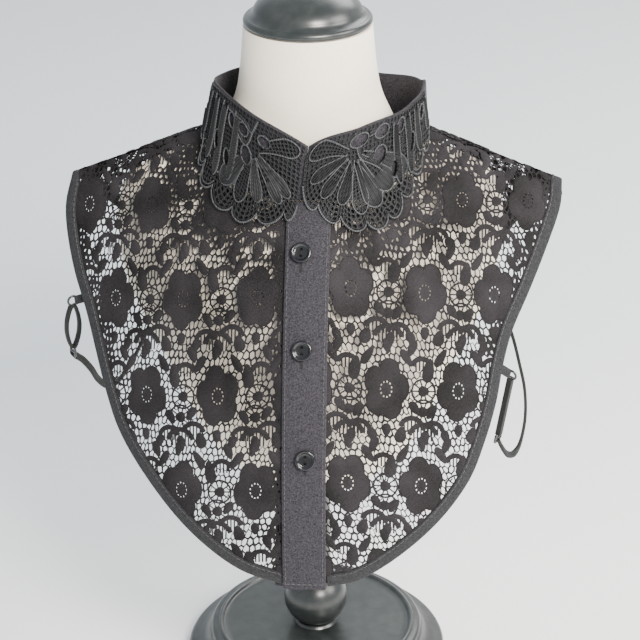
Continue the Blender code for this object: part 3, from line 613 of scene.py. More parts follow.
def mesh_object(name, points, faces, material):
    """A mesh in the part's frame, shaded smooth, its faces turned outward."""
    mesh = bpy.data.meshes.new(name)
    mesh.from_pydata(np.asarray(points).tolist(), [], faces)
    bm = bmesh.new()
    bm.from_mesh(mesh)
    bmesh.ops.recalc_face_normals(bm, faces=bm.faces)
    bm.to_mesh(mesh)
    bm.free()
    mesh.shade_smooth()
    mesh.set_sharp_from_angle(angle=math.radians(SHARP_ANGLE))
    mesh.materials.append(material)
    item = bpy.data.objects.new(name, mesh)
    bpy.context.scene.collection.objects.link(item)
    return item


def add_cloth_place(item, places):
    """Gives each corner its point's place on the flat cloth, for the finishes."""
    layer = item.data.uv_layers.new(name="cloth")
    corners = np.zeros(len(item.data.loops), int)
    item.data.loops.foreach_get("vertex_index", corners)
    layer.data.foreach_set("uv", (places[corners] * MM).ravel())


def dress(item, slot, *nodes):
    """The piece stands for its solids and hides them; it hangs from the root body."""
    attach(item, "root")
    if nodes:
        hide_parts(*nodes)
    return item


# Regions of a flat pattern


def inside_distance(points, outline):
    """How far each point lies inside a closed outline, negative outside."""
    points, outline = np.asarray(points, float), np.asarray(outline, float)
    a, b = outline, np.roll(outline, -1, 0)
    inside = np.zeros(len(points), bool)
    nearest = np.full(len(points), 1e9)
    for (x0, y0), (x1, y1) in zip(a, b):
        crosses = (y0 > points[:, 1]) != (y1 > points[:, 1])
        if y0 != y1:
            at = x0 + (points[:, 1] - y0) * (x1 - x0) / (y1 - y0)
            inside ^= crosses & (points[:, 0] < at)
        run = np.array((x1 - x0, y1 - y0))
        share = np.clip(((points - (x0, y0)) @ run) / max(run @ run, 1e-9), 0, 1)
        nearest = np.minimum(nearest, np.hypot(*(points - (x0, y0) - share[:, None] * run).T))
    return np.where(inside, nearest, -nearest)


def cut_edge(wall, points, inset, count):
    """The cut edge of a panel moved in by a width of cloth: x and angle at each place."""
    line = smooth_path(points, count)
    ahead = np.gradient(line, axis=0)
    inward = normalised(np.stack([ahead[:, 1], -ahead[:, 0]], axis=-1))
    turned = np.sum(inward * (np.array((0.0, 300.0)) - line), axis=1) < 0
    inward[turned] *= -1
    here = wall.at_height(line[:, 0], line[:, 1])
    there = wall.at_height(line[:, 0] + inward[:, 0], line[:, 1] + inward[:, 1])
    moved = line + inward * (inset / np.linalg.norm(there - here, axis=1))[:, None]
    angle = wall.angle_at_height(moved[:, 0], moved[:, 1])
    angle[0] = 0.0
    return moved[:, 0], np.maximum(angle, wall.angle_at_reach(moved[:, 0], SHOULDER_GAP / 2))


def panel_outline(wall, edge_points, centre_x, back=False):
    """The right half's outline in the flat: neck, shoulder, cut edge, centre."""
    first = 0.0 if back else math.degrees(math.asin(centre_x / NECK_HALF_WIDTH))
    turn = np.linspace(first, 90.0, NECK_POINTS)
    plan = neck_plan(180.0 - turn if back else turn, 1.0)
    neck = wall.flat(plan[:, 0], wall.angle_at_reach(plan[:, 0], plan[:, 1]))
    edge_x, edge_angle = cut_edge(wall, edge_points, BINDING_WIDTH - LACE_UNDER_BINDING, 60)
    shoulder_x = np.linspace(plan[-1, 0], edge_x[0], SHOULDER_POINTS + 2)[1:-1]
    shoulder = wall.flat(shoulder_x, np.zeros_like(shoulder_x))
    edge = wall.flat(edge_x, edge_angle)
    low = [(centre_x, edge[-1, 1])]
    return np.vstack([neck, shoulder, edge, low])


# Lace of the fronts and back


def wobble(points):
    """A slight unevenness of the net, the same for every point of one place."""
    x, y = points[:, 0], points[:, 1]
    moved = points.copy()
    moved[:, 0] += 0.26 * np.sin(1.3 * y + 0.6 * x) + 0.7 * np.sin(0.11 * y - 0.25 * x + 1.0)
    moved[:, 1] += 0.30 * np.sin(1.1 * x - 0.4 * y + 2.0) + 0.6 * np.sin(0.23 * x + 0.17 * y)
    return moved


def add_cells(flat, rings, holes, out, half, warp=None):
    """Cells with a hole each, from their outer points and the hole's points, welded to each other."""
    n, m = rings.shape[:2]
    outer, index = np.unique(np.round(rings.reshape(-1, 2), 3), axis=0, return_inverse=True)
    rim = index.reshape(n, m)
    hole = len(outer) + np.arange(n * m).reshape(n, m)
    points = np.vstack([outer, holes.reshape(-1, 2)])
    if warp is not None:
        points = warp(points)
    faces = np.stack([rim, np.roll(rim, -1, 1), np.roll(hole, -1, 1), hole], axis=-1).reshape(-1, 4)
    flat.plate(np.column_stack([points, np.full(len(points), out)]), [faces], half)


def net_cells(outline, covered, seed, tight_near=None):
    """The hexagonal net inside an outline, apart from the places that a figure covers."""
    lo, hi = outline.min(0) - CELL_HEIGHT, outline.max(0) + CELL_HEIGHT
    pitch = CELL_HEIGHT * 0.75
    rows = np.arange(math.floor(lo[1] / pitch), math.ceil(hi[1] / pitch))
    lean = NET_LEAN * max(abs(lo[1]), abs(hi[1]))
    columns = np.arange(math.floor((lo[0] - lean) / CELL_WIDTH), math.ceil((hi[0] + lean) / CELL_WIDTH))
    j, i = np.meshgrid(rows, columns, indexing="ij")
    middles = np.stack([(i + 0.5 * (j % 2)) * CELL_WIDTH + NET_LEAN * j * pitch, j * pitch], axis=-1)
    middles = middles.reshape(-1, 2)
    middles = middles[(inside_distance(middles, outline) > -NET_MARGIN) & ~covered(middles)]
    w, h = CELL_WIDTH / 2, CELL_HEIGHT / 2
    corners = np.array(((0, h), (w, h / 2), (w, -h / 2), (0, -h), (-w, -h / 2), (-w, h / 2)))
    corners[:, 0] += NET_LEAN * corners[:, 1]
    size = NET_OPEN * np.random.default_rng(seed).uniform(*HOLE_SPREAD, len(middles))
    if tight_near is not None:
        size *= tight_near(middles)
    return middles[:, None] + corners, middles[:, None] + corners * size[:, None, None]


def petal_radius(angle):
    return FLOWER_RADIUS * (0.72 + 0.31 * np.abs(np.cos(FLOWER_PETALS * angle / 2)) ** 0.5)


def add_flower(flat, x, y, turn):
    """A flower with rounded petals and a ring of small eyelets, its outline corded."""
    count = FLOWER_SECTORS * SECTOR_POINTS
    angle = np.arange(count) / count * 2 * math.pi
    radius = petal_radius(angle + turn)
    ray = np.stack([np.cos(angle), FLOWER_STRETCH * np.sin(angle)], axis=-1)
    ring_in, ring_out = EYELET_RING

    def disc(shares, radii):
        rows = [(x, y) + ray * r[:, None] for r in radii]
        lift = [PLATE_OUT + 0.3 * share * (radius / radius.max()) ** 6 for share in shares]
        return np.concatenate([np.column_stack([row, up]) for row, up in zip(rows, lift)])

    inner = [np.full(count, r) for r in (0.01, ring_in)]
    flat.plate(disc((0.6, 0.0), inner), [ring_faces(2, count)], PLATE_HALF)
    shares = (0.0, 0.45, 0.85, 1.0)
    outer = [ring_out + (radius - ring_out) * s for s in shares]
    flat.plate(disc((0.0, 1.0, 0.6, 0.0), outer), [ring_faces(4, count)],
               np.repeat([1, 1, 0.9, 0.5], count) * PLATE_HALF)
    k = np.arange(FLOWER_SECTORS)[:, None] * SECTOR_POINTS + np.arange(SECTOR_POINTS + 1)[None, :]
    near = (x, y) + ray[k % count] * ring_in
    far = (x, y) + ray[k % count] * ring_out
    rings = np.concatenate([far, near[:, ::-1]], axis=1)
    middle = rings.mean(1, keepdims=True)
    add_cells(flat, rings, middle + (rings - middle) * EYELET_OPEN, PLATE_OUT, PLATE_HALF)
    edge = (x, y) + ray * radius[:, None]
    flat.sweep(edge, *FLOWER_CORD, out=PLATE_OUT + 0.16, closed=True)


def leaf_edge(length, width, count=12):
    s = np.arange(count) / count * 2 * math.pi
    return np.stack([length / 2 * np.cos(s), width / 2 * np.sin(s) * (1 - 0.28 * np.cos(s))], axis=-1)


def turned_by(points, degrees):
    c, s = math.cos(math.radians(degrees)), math.sin(math.radians(degrees))
    return points @ np.array(((c, s), (-s, c)))


def add_leaf(flat, x, y, length, width, degrees, out=PLATE_OUT):
    """A dense leaf, rounded towards its edge."""
    edge = turned_by(leaf_edge(length, width), degrees)
    count = len(edge)
    shares = (0.03, 0.7, 1.0)
    rows = [np.column_stack([(x, y) + edge * share, np.full(count, out + 0.25 * (1 - share ** 3))])
            for share in shares]
    flat.plate(np.concatenate(rows), [ring_faces(len(shares), count)],
               np.repeat([1.0, 0.9, 0.3], count) * PLATE_HALF)


def arch(x, y, radius, start=195.0, stop=345.0, count=11):
    angle = np.radians(np.linspace(start, stop, count))
    return np.stack([x + radius * np.cos(angle), y + radius * np.sin(angle)], axis=-1)


def add_ladder(flat, x, y, radius, bars, drop):
    """A bent stem with a row of bars below it."""
    flat.sweep(arch(x, y, radius), 1.5, PLATE_HALF, out=PLATE_OUT)
    for k in range(bars):
        across = (k + 0.5 - bars / 2) * LADDER_PITCH
        top = y - math.sqrt(max(radius ** 2 - across ** 2, 1.0))
        bar = (x + across, top), (x + across * 0.97, top + drop / 2), (x + across * 0.93, y + drop * 0.3)
        flat.sweep(bar, 0.45, NET_WALL / 2, out=0.05)


def add_bud(flat, x, y):
    """A round bud with a ring of short rays."""
    add_leaf(flat, x, y, 6.4, 6.0, 0.0)
    for k in range(BUD_RAYS):
        angle = k / BUD_RAYS * 2 * math.pi
        ray = np.array((math.cos(angle), math.sin(angle)))
        flat.sweep(((x, y) + ray * 2.6, (x, y) + ray * 4.6, (x, y) + ray * 6.6), 0.42, NET_WALL / 2, out=0.05)
    flat.sweep(arch(x, y, 6.7, 0.0, 345.0, 16), 0.55, NET_WALL / 2, out=0.02, closed=True)


# The figures of one repeat, from its flower's middle: across, down and sizes
LADDERS = ((0.5, -27.0, 8.0, 6, 5.0), (14.5, 22.0, 6.5, 5, 4.5), (-14.5, 24.0, 6.0, 4, 4.5),
           (19.5, -12.0, 5.5, 4, 4.5))
LEAVES = ((-10.6, -18.2, 12.0, 4.8, -58.0), (11.0, -17.6, 11.5, 4.8, 56.0), (-12.0, -29.0, 9.5, 6.6, -75.0),
          (13.5, -28.0, 8.5, 5.0, 70.0), (-17.5, -11.0, 14.0, 6.6, -82.0), (16.0, 10.0, 9.0, 5.0, 55.0),
          (-15.5, 12.0, 9.0, 5.0, 120.0), (0.5, 22.5, 7.5, 5.0, 90.0), (22.0, 27.0, 9.5, 5.0, 100.0),
          (-20.5, 30.0, 9.0, 4.6, 80.0), (-6.5, 31.0, 10.0, 5.0, 110.0))
BUDS = ((21.0, 0.5), (0.5, -42.0))


def flower_turn(number):
    return 0.5 + 0.7 * number


def flower_places(outline, first, across):
    """Middles of the flowers, in rows that stand half a repeat apart."""
    places = []
    lo, hi = outline.min(0), outline.max(0)
    for row in range(-4, 6):
        for column in range(-6, 7):
            x = first[0] + across * (column + 0.5 * (row % 2))
            y = first[1] + REPEAT_DOWN * row
            if lo[0] - 30 < x < hi[0] + 30 and lo[1] - 50 < y < hi[1] + 50:
                places.append((x, y))
    return np.array(places)


def build_panel(name, wall, sign, outline, first, across, seed, material, near_neck):
    """One lace panel: net, flowers, leaves, ladders and buds, all inside the panel's outline."""
    flat = Flat()
    flowers = flower_places(outline, first, across)

    def covered(points):
        hidden = np.zeros(len(points), bool)
        for number, (x, y) in enumerate(flowers):
            off = points - (x, y)
            off[:, 1] /= FLOWER_STRETCH
            angle = np.arctan2(off[:, 1], off[:, 0]) + flower_turn(number)
            hidden |= np.hypot(*off.T) < petal_radius(angle) - FIGURE_MARGIN
            for lx, ly, radius, _, drop in LADDERS:
                beside, below = (points - (x + lx, y + ly)).T
                hidden |= (np.abs(beside) < radius - 1.2) & (below > -radius) & (below < drop * 0.2)
            for lx, ly, length, width, degrees in LEAVES:
                near = turned_by(points - (x + lx, y + ly), -degrees)
                hidden |= (near[:, 0] / (length / 2)) ** 2 + (near[:, 1] / (width / 2)) ** 2 < 0.3
            for bx, by in BUDS:
                hidden |= np.hypot(*(points - (x + bx, y + by)).T) < 5.6
        return hidden

    rings, holes = net_cells(outline, covered, seed, near_neck)
    add_cells(flat, rings, holes, 0.0, NET_WALL / 2, wobble)
    flat.limit = lambda points: inside_distance(points, outline) > -NET_MARGIN

    def inside(x, y, margin):
        return inside_distance([(x, y)], outline)[0] > margin

    for number, (x, y) in enumerate(flowers):
        if inside(x, y, -LACE_UNDER_BINDING - 8):
            add_flower(flat, x, y, flower_turn(number))
        for figure in LADDERS:
            if inside(x + figure[0], y + figure[1] - 3, -2):
                add_ladder(flat, x + figure[0], y + figure[1], *figure[2:])
        for figure in LEAVES:
            if inside(x + figure[0], y + figure[1], -1):
                add_leaf(flat, x + figure[0], y + figure[1], *figure[2:])
        for bx, by in BUDS:
            if inside(x + bx, y + by, -1):
                add_bud(flat, x + bx, y + by)
    return flat.build(name, lambda points: wall.bend(points) * (sign, 1, 1), material)


# Turned-over guipure lobes: a generic fan of petals round a hub, with finger leaves beside it


def lobe_spot(side, turn, drop):
    """A flat place on a lobe from a turn round the neck and a drop from the fold."""
    return np.array((side_sign(side) * (turn - LOBE_TURN) * lobe_scale(drop), drop))


def lobe_outline(side, first=0, last=None, per_scallop=14):
    """The lobe's scalloped edge in the flat, and the scallop that each point belongs to."""
    notches = LOBE_NOTCHES[side]
    points = []
    for (t0, d0), (t1, d1) in list(zip(notches, notches[1:]))[first:last]:
        for share in np.linspace(0, 1, per_scallop, endpoint=False):
            depth = d0 + (d1 - d0) * share + SCALLOP_BULGE * max(math.sin(math.pi * share), 0) ** 0.6
            points.append(lobe_spot(side, t0 + (t1 - t0) * share, depth - 0.8))
    t1, d1 = notches[last] if last else notches[-1]
    points.append(lobe_spot(side, t1, d1 - 0.8))
    return np.array(points)


def patch_cells(corners, share):
    """Cells of a grid of corners, each with a rounded hole: their rings and holes."""
    a, b = corners[:-1, :-1], corners[1:, :-1]
    c, d = corners[1:, 1:], corners[:-1, 1:]
    rings = np.stack([a, (a + b) / 2, b, (b + c) / 2, c, (c + d) / 2, d, (d + a) / 2], axis=2)
    rings = rings.reshape(-1, 8, 2)
    middle = rings.mean(1, keepdims=True)
    pull = np.array([0.80, 1.0] * 4)[None, :, None]
    return rings, middle + (rings - middle) * pull * share


class Petal:
    """A petal on a bent axis from its root to its tip; its places are shares across and along."""

    def __init__(self, root, tip, half, bow=0.0, root_half=0.35, power=0.55):
        self.root, self.tip, self.half = np.array(root, float), np.array(tip, float), half
        axis = self.tip - self.root
        self.side = np.array((-axis[1], axis[0])) / np.linalg.norm(axis)
        self.bow, self.root_half, self.power = bow, root_half, power

    def width(self, along):
        rise = np.clip(along / 0.72, 0, 1)
        body = self.root_half + (1 - self.root_half) * rise ** 1.3
        cap = np.sqrt(np.clip(1 - np.clip((along - 0.72) / 0.28, 0, 1) ** 2, 0, 1))
        return self.half * body * cap

    def at(self, across, along):
        across, along = np.broadcast_arrays(np.asarray(across, float), along)
        middle = self.root + (self.tip - self.root) * along[..., None]
        bend = self.bow * np.sin(math.pi * along) + across * self.width(along)
        return middle + self.side * bend[..., None]

    def outline(self, count=36, start=0.04):
        along = np.clip(start + (1 - start) * np.sin(np.linspace(0, math.pi, count)) ** 0.8, start, 1.0)
        across = np.where(np.arange(count) < count / 2, -1.0, 1.0)
        return self.at(across, along)


def add_ribbed(flat, petal, start, stop, ribs, out, edge=0.9):
    """A dense part of a petal with raised ribs along it."""
    columns, rows = ribs * 4, max(int((stop - start) * 22), 6)
    across = np.linspace(-edge, edge, columns + 1)
    along = start + (stop - start) * np.sin(np.linspace(0, 1, rows + 1) * math.pi / 2)
    along = np.minimum(along, 0.985)
    spots = petal.at(across[None, :], along[:, None])
    lift = out + RIB_RISE * (0.5 - 0.5 * np.cos(across * ribs * math.pi / edge))
    lift = np.broadcast_to(lift[None, :, None], (rows + 1, columns + 1, 1))
    points = np.concatenate([spots, lift], axis=-1).reshape(-1, 3)
    flat.plate(points, [grid_faces(rows, columns)], GUIPURE_HALF)


def add_meshed(flat, petal, start, stop, across_count, rows, out, edge=0.92):
    """An open part of a petal: rows of square cells."""
    across = np.linspace(-edge, edge, across_count + 1)
    along = np.linspace(start, stop, rows + 1)
    corners = petal.at(across[None, :], along[:, None])
    add_cells(flat, *patch_cells(corners, CELL_OPEN), out, GUIPURE_HALF)


def add_petal(flat, petal, style, out):
    length = np.linalg.norm(petal.tip - petal.root)
    rows = max(int(length / NET_ROW), 4)
    if style == "ribbed":
        add_ribbed(flat, petal, 0.10, 0.985, 4, out)
    elif style == "meshed":
        add_meshed(flat, petal, 0.16, 0.93, 4, rows, out)
    else:
        add_meshed(flat, petal, 0.16, 0.56, 4, max(int(rows * 0.45), 3), out)
        add_ribbed(flat, petal, 0.56, 0.985, 4, out)
    flat.sweep(petal.outline(), CORD, CORD, out=out + 0.3, profile=ROUND)


def build_lobe(side, material, cord_material):
    """A lobe: net of the outer scallops, petals, stems, finger leaves, ground and corded edge."""
    flat = Flat()
    notches = LOBE_NOTCHES[side]
    hub = lobe_spot(side, *LOBE_HUBS[side])
    fan = LOBE_FAN[side]
    gaps = [(lobe_spot(side, turn, drop), across, down) for turn, drop, across, down in LOBE_GAPS[side]]

    def in_gap(points, grow=0.0):
        return np.any([np.hypot((points[:, 0] - c[0]) / (a + grow), (points[:, 1] - c[1]) / (d + grow)) < 1
                       for c, a, d in gaps], axis=0)

    flat.limit = lambda points: (points[:, 1] > 0.4) & ~in_gap(points)

    edges = [lobe_outline(side, k, k + 1, 6) for k in range(fan)]
    for edge in edges:
        line = resample(edge, 7)
        shares = 0.34 + 0.64 * np.linspace(0, 1, 10) ** 0.9
        corners = hub + (line[None, :, :] - hub) * shares[:, None, None]
        add_cells(flat, *patch_cells(corners, CELL_OPEN), -0.25, GUIPURE_HALF)

    petals = []
    spots = [lobe_spot(side, *notch) for notch in notches[:fan + 1]]
    for number, spot in enumerate(spots):
        run = spot - hub
        tip = hub + run * (PETAL_REACH + 0.04 * math.sin(2.4 * number))
        root = hub + run * 0.08
        half = max(PETAL_SHARE * np.linalg.norm(run), PETAL_LEAST)
        petals.append((Petal(root, tip, half, 0.5 * math.sin(number * 1.9)), PETAL_STYLES[number % 4]))
    top = lobe_spot(side, notches[0][0], 4.5) + (2.0, 0.0)
    petals.append((Petal(hub + (top - hub) * 0.1, top, 5.0, 1.0), "meshed"))
    for number, (petal, style) in enumerate(petals):
        add_petal(flat, petal, style, 0.2 + 0.12 * (number % 2))

    fingers = []
    for number, (turn, drop_in, drop_out, half) in enumerate(LOBE_FINGERS[side]):
        root, tip = lobe_spot(side, turn, drop_in), lobe_spot(side, turn + math.copysign(1.5, turn), drop_out)
        fingers.append(Petal(root, tip, half, 0.8 * (-1) ** number, 0.75))
        add_petal(flat, fingers[-1], "ribbed", 0.35)
    for first, second in zip(fingers, fingers[1:]):
        for share in np.arange(0.16, 0.86, 2.6 / max(np.linalg.norm(first.tip - first.root), 4.0)):
            a, b = first.at(-0.9, np.array(share)), second.at(0.9, np.array(share))
            if np.linalg.norm(a - b) < 11.0:
                flat.sweep((a, (a + b) / 2, b), 0.42, 0.4, out=0.1)

    for path in LOBE_STEMS:
        line = smooth_path([lobe_spot(side, LOBE_HUBS[side][0] + math.copysign(t, LOBE_HUBS[side][0]), d)
                            for t, d in path], 24)
        flat.sweep(line, 1.1, 0.5, out=0.25)
        flat.sweep(line + (0, 1.3), CORD, CORD, out=0.5, profile=ROUND)
    for spot, across, down in gaps:
        rim = spot + oval(across + 0.5, down + 0.5, 20)
        limit, flat.limit = flat.limit, None
        flat.sweep(rim, CORD, CORD, out=0.3, profile=ROUND, closed=True)
        flat.limit = limit

    outline = lobe_outline(side)
    fold = lobe_spot(side, notches[-1][0], 0.6), lobe_spot(side, notches[0][0], 0.6)
    whole = np.vstack([outline, fold[0], fold[1]])
    add_ground(flat, whole, petals, fingers, hub, edges, in_gap)
    flat.limit = None
    flat.sweep(outline, CORD * 1.15, CORD * 1.15, out=0.15, profile=ROUND)
    for k in range(fan + 1, len(notches) - 1):
        inner = lobe_outline(side, k - 1, k, 10) + (0, -2.2)
        flat.sweep(inner, CORD * 0.8, CORD * 0.8, out=0.35, profile=ROUND)
    return flat.build(f"guipure_{side}", Lobe(side_sign(side)).bend, material, cord_material)


def add_ground(flat, whole, petals, fingers, hub, edges, in_gap):
    """Small even cells over what the figures leave free."""
    lo, hi = whole.min(0), whole.max(0)
    xs = np.arange(lo[0], hi[0] + GROUND_CELL, GROUND_CELL)
    ys = np.arange(0.6, hi[1] + GROUND_CELL, GROUND_CELL)
    corners = np.stack(np.meshgrid(xs, ys), axis=-1)
    rings, holes = patch_cells(corners, CELL_OPEN)
    middle = rings.mean(1)
    taken = inside_distance(middle, whole) < 0.9
    for edge in edges:
        sector = np.vstack([hub + (edge - hub) * 0.34, edge[::-1]])
        taken |= inside_distance(middle, sector) > -0.4
    for petal in [p for p, _ in petals] + fingers:
        taken |= inside_distance(middle, petal.outline()) > 0.3
    taken |= in_gap(middle, 1.0)
    if (~taken).any():
        add_cells(flat, rings[~taken], holes[~taken], -0.3, GUIPURE_HALF * 0.8)


# Ribbons of cloth: closed slabs that follow a surface


SLAB = ((-1.0, 0.0), (-0.985, 0.6), (-0.95, 0.92), (-0.88, 1.0), (-0.6, 1.0), (-0.3, 1.0), (0.0, 1.0),
        (0.3, 1.0), (0.6, 1.0), (0.88, 1.0), (0.95, 0.92), (0.985, 0.6), (1.0, 0.0), (0.985, -0.6),
        (0.95, -0.92), (0.6, -1.0), (0.0, -1.0), (-0.6, -1.0), (-0.95, -0.92), (-0.985, -0.6))


def ribbon(name, place, count, profile, material, closed=False):
    """A closed slab through sections: place(share, across, high) gives garment points."""
    rings = [place(i / (count if closed else count - 1), np.array([u for u, _ in profile]),
                   np.array([h for _, h in profile])) for i in range(count)]
    points = np.concatenate(rings)
    item = mesh_object(name, to_world(points), strip_faces(count, len(profile), closed), material)
    runs = np.repeat(running([ring.mean(0) for ring in rings]), len(profile))
    width = np.linalg.norm(rings[0][0] - rings[0][len(profile) // 2 if len(profile) > 12 else 3])
    across = np.tile([u * width / 2 for u, _ in profile], count)
    add_cloth_place(item, np.stack([across, runs], axis=-1))
    return item


def tube(name_points, radius, sides=6):
    """Points and faces of a closed cord through points in space."""
    line = np.asarray(name_points, float)
    ahead = normalised(np.gradient(line, axis=0))
    up = np.array((0.0, 0.0, 1.0)) if abs(ahead[0][2]) < 0.8 else np.array((1.0, 0.0, 0.0))
    sides_out = []
    across = normalised(np.cross(ahead[0], up))
    for direction in ahead:
        across = normalised(across - direction * (across @ direction))
        sides_out.append(across)
    across = np.array(sides_out)
    other = np.cross(ahead, across)
    angle = np.arange(sides) / sides * 2 * math.pi
    radius = np.broadcast_to(radius, len(line))
    rings = line[:, None] + radius[:, None, None] * (across[:, None] * np.cos(angle)[None, :, None]
                                                     + other[:, None] * np.sin(angle)[None, :, None])
    return rings.reshape(-1, 3), strip_faces(len(line), sides, False)


def cords(name, lines, radius, material, sides=6):
    """Several cords, such as stitches, as one piece, in the garment's frame."""
    points, faces, count = [], [], 0
    for line in lines:
        spots, loops = tube(line, radius, sides)
        faces += [tuple(i + count for i in face) for face in loops]
        points.append(spots)
        count += len(spots)
    return mesh_object(name, to_world(np.vstack(points)), faces, material)


def stitches(line, length=2.2, gap=0.9, high=0.12):
    """Short threads along a line of points, each sunk at its ends; line gives points and normals."""
    points, normals = line
    run = running(points)
    made = []
    for start in np.arange(0.0, run[-1] - length, length + gap):
        at = start + np.linspace(0, length, 4)
        up = along_line(normals, run, at)
        made.append(along_line(points, run, at) + up * (high * np.array((-0.8, 1.0, 1.0, -0.8)))[:, None])
    return made


# Closure, bindings and band


def placket_place(x_of, z_of, out, wall_half):
    def place(share, across, high):
        pucker = 0.10 * np.sin(share * 150.0 + across * 2.0) * (np.abs(np.abs(across) - 0.84) < 0.2)
        return FRONT.at_height(x_of(across, share), z_of(share), out + wall_half * high + pucker * (high > 0))
    return place


def upper_x(across, share):
    return PLACKET_WIDTH / 2 * across


def upper_z(share):
    return PLACKET_BOTTOM + (PLACKET_TOP - PLACKET_BOTTOM) * share


def under_x(across, share):
    return PLACKET_WIDTH / 2 * across - UNDER_SHIFT - UNDER_SKEW * (1 - share)


def under_z(share):
    return upper_z(share) - UNDER_DROP


def wall_line(xs, zs, out):
    """Points on the front cloth with their normals, for stitches and threads."""
    points = FRONT.at_height(xs, zs, out)
    return points, normalised(FRONT.at_height(xs, zs, out + 1.0) - points)


def build_closure(materials):
    half = PLACKET_WALL / 2
    upper = ribbon("placket_cloth", placket_place(upper_x, upper_z, PLACKET_OUT, half), 150, SLAB,
                   materials["cloth"])
    dress(upper, "cloth", "placket")
    under = ribbon("under_placket_cloth", placket_place(under_x, under_z, UNDER_OUT, half), 110, SLAB,
                   materials["cloth"])
    dress(under, "cloth", "under_placket")
    heights = upper_z(np.linspace(0.0, 1.0, 60))
    flat = (PLACKET_WIDTH * MM, run_length(FRONT.at_height(np.zeros(60), heights)))
    share = np.linspace(0.012, 0.995, 200)
    face = PLACKET_OUT + half
    lines = []
    for across in (-1 + STITCH_INSET / 12, 1 - STITCH_INSET / 12):
        lines += stitches(wall_line(upper_x(across, share), upper_z(share), face))
    hem = np.linspace(-0.86, 0.86, 30)
    lines += stitches(wall_line(upper_x(hem, 0), np.full(30, upper_z(0.0) + HEM_INSET), face))
    dress(cords("placket_stitches", lines, STITCH_RADIUS, materials["thread"], 5), "cloth")
    holes = []
    for middle, height in BUTTON_PLACES.values():
        for side in (-BUTTONHOLE_HALF, BUTTONHOLE_HALF):
            z = np.linspace(height - BUTTONHOLE_DOWN, height + BUTTONHOLE_UP, 26)
            holes.append(FRONT.at_height(middle + side * np.ones(26), z, face + 0.12))
        for end in (height - BUTTONHOLE_DOWN, height - BUTTONHOLE_DOWN + 0.4):
            x = middle + np.linspace(-0.8, 0.8, 6)
            holes.append(FRONT.at_height(x, np.full(6, end), face + 0.14))
    dress(cords("buttonhole_stitches", holes, BUTTONHOLE_RADIUS, materials["dark_thread"], 5), "cloth")
    ends = []
    for loose in LOOSE_THREADS:
        points = [FRONT.at_height(np.array(x), np.array(z), out) for x, z, out in loose]
        ends.append(smooth_path(points, 20))
    dress(cords("loose_threads", ends, LOOSE_RADIUS, materials["dark_thread"], 5), "cloth")


def binding_place(wall, outer, inner, sign):
    def place(share, across, high):
        at = share * (len(outer[0]) - 1)
        i = np.arange(len(outer[0]))
        far = np.array([np.interp(at, i, outer[0]), np.interp(at, i, outer[1])])
        near = np.array([np.interp(at, i, inner[0]), np.interp(at, i, inner[1])])
        x = near[0] + (far[0] - near[0]) * across
        angle = near[1] + (far[1] - near[1]) * across
        pucker = 0.09 * math.sin(at * 9.0) * (np.abs(across - 0.14) < 0.2) * (np.abs(high) > 0.5)
        return wall.place(x, angle, BINDING_HALF * high + np.sign(high) * pucker) * (sign, 1, 1)
    return place


def binding_edges(wall, points, count, least_x):
    edges = [cut_edge(wall, points, inset, count) for inset in (0.0, BINDING_WIDTH)]
    return [(np.maximum(x, least_x), angle) for x, angle in edges]


def bound_length(wall, outer, inner):
    return run_length(wall.place((outer[0] + inner[0]) / 2, (outer[1] + inner[1]) / 2))


def build_bindings(materials):
    for side, points in FRONT_EDGES.items():
        sign = side_sign(side)
        outer, inner = binding_edges(FRONT, points, 90, PLACKET_WIDTH / 2 + SEAM_GAP)
        item = ribbon(f"binding_cloth_{side}", binding_place(FRONT, outer, inner, sign), 170, BIAS,
                      materials["bias"])
        dress(item, "cloth", f"binding_{side}")
        bound_length(FRONT, outer, inner)
        x = inner[0] + (outer[0] - inner[0]) * 0.13
        angle = inner[1] + (outer[1] - inner[1]) * 0.13
        seam = FRONT.place(x, angle, BINDING_HALF * 0.93)
        up = normalised(FRONT.place(x, angle, BINDING_HALF + 1) - seam)
        lines = [line * (sign, 1, 1) for line in stitches((seam, up))]
        dress(cords(f"binding_stitches_{side}", lines, 0.17, materials["thread"], 5), "cloth")
    outer, inner = binding_edges(BACK, BACK_EDGE, 60, 0.0)
    outer[0][-1] = inner[0][-1] = 0.0
    right, left = binding_place(BACK, outer, inner, 1.0), binding_place(BACK, outer, inner, -1.0)

    def both(share, across, high):
        return right(2 * share, across, high) if share <= 0.5 else left(2 - 2 * share, across, high)

    item = ribbon("binding_cloth_back", both, 201, BIAS, materials["bias"])
    dress(item, "cloth", "binding_back")
    2 * bound_length(BACK, outer, inner)


def build_band(materials):
    def place(share, across, high):
        turn = (V_TURN + BAND_SLIT / 2 + (360.0 - BAND_SLIT) * share + 180.0) % 360.0 - 180.0
        low, top = band_bottom(np.array(turn)), band_top(np.array(turn))
        middle = low + (top - low) * (0.5 + 0.5 * across)[:, None]
        outward = normalised(np.append(neck_plan(np.array(turn), 1.0) - neck_plan(np.array(turn)), 0.0))
        return middle + outward * (BAND_WALL / 2 * high)[:, None]
    item = ribbon("collar_band_cloth", place, 220, SLAB, materials["cloth"])
    dress(item, "cloth", "collar_band")
    turns = np.linspace(-180.0, 180.0, 181)
    low, top = band_bottom(turns), band_top(turns)
    length = run_length((low + top) / 2)


# Buttons


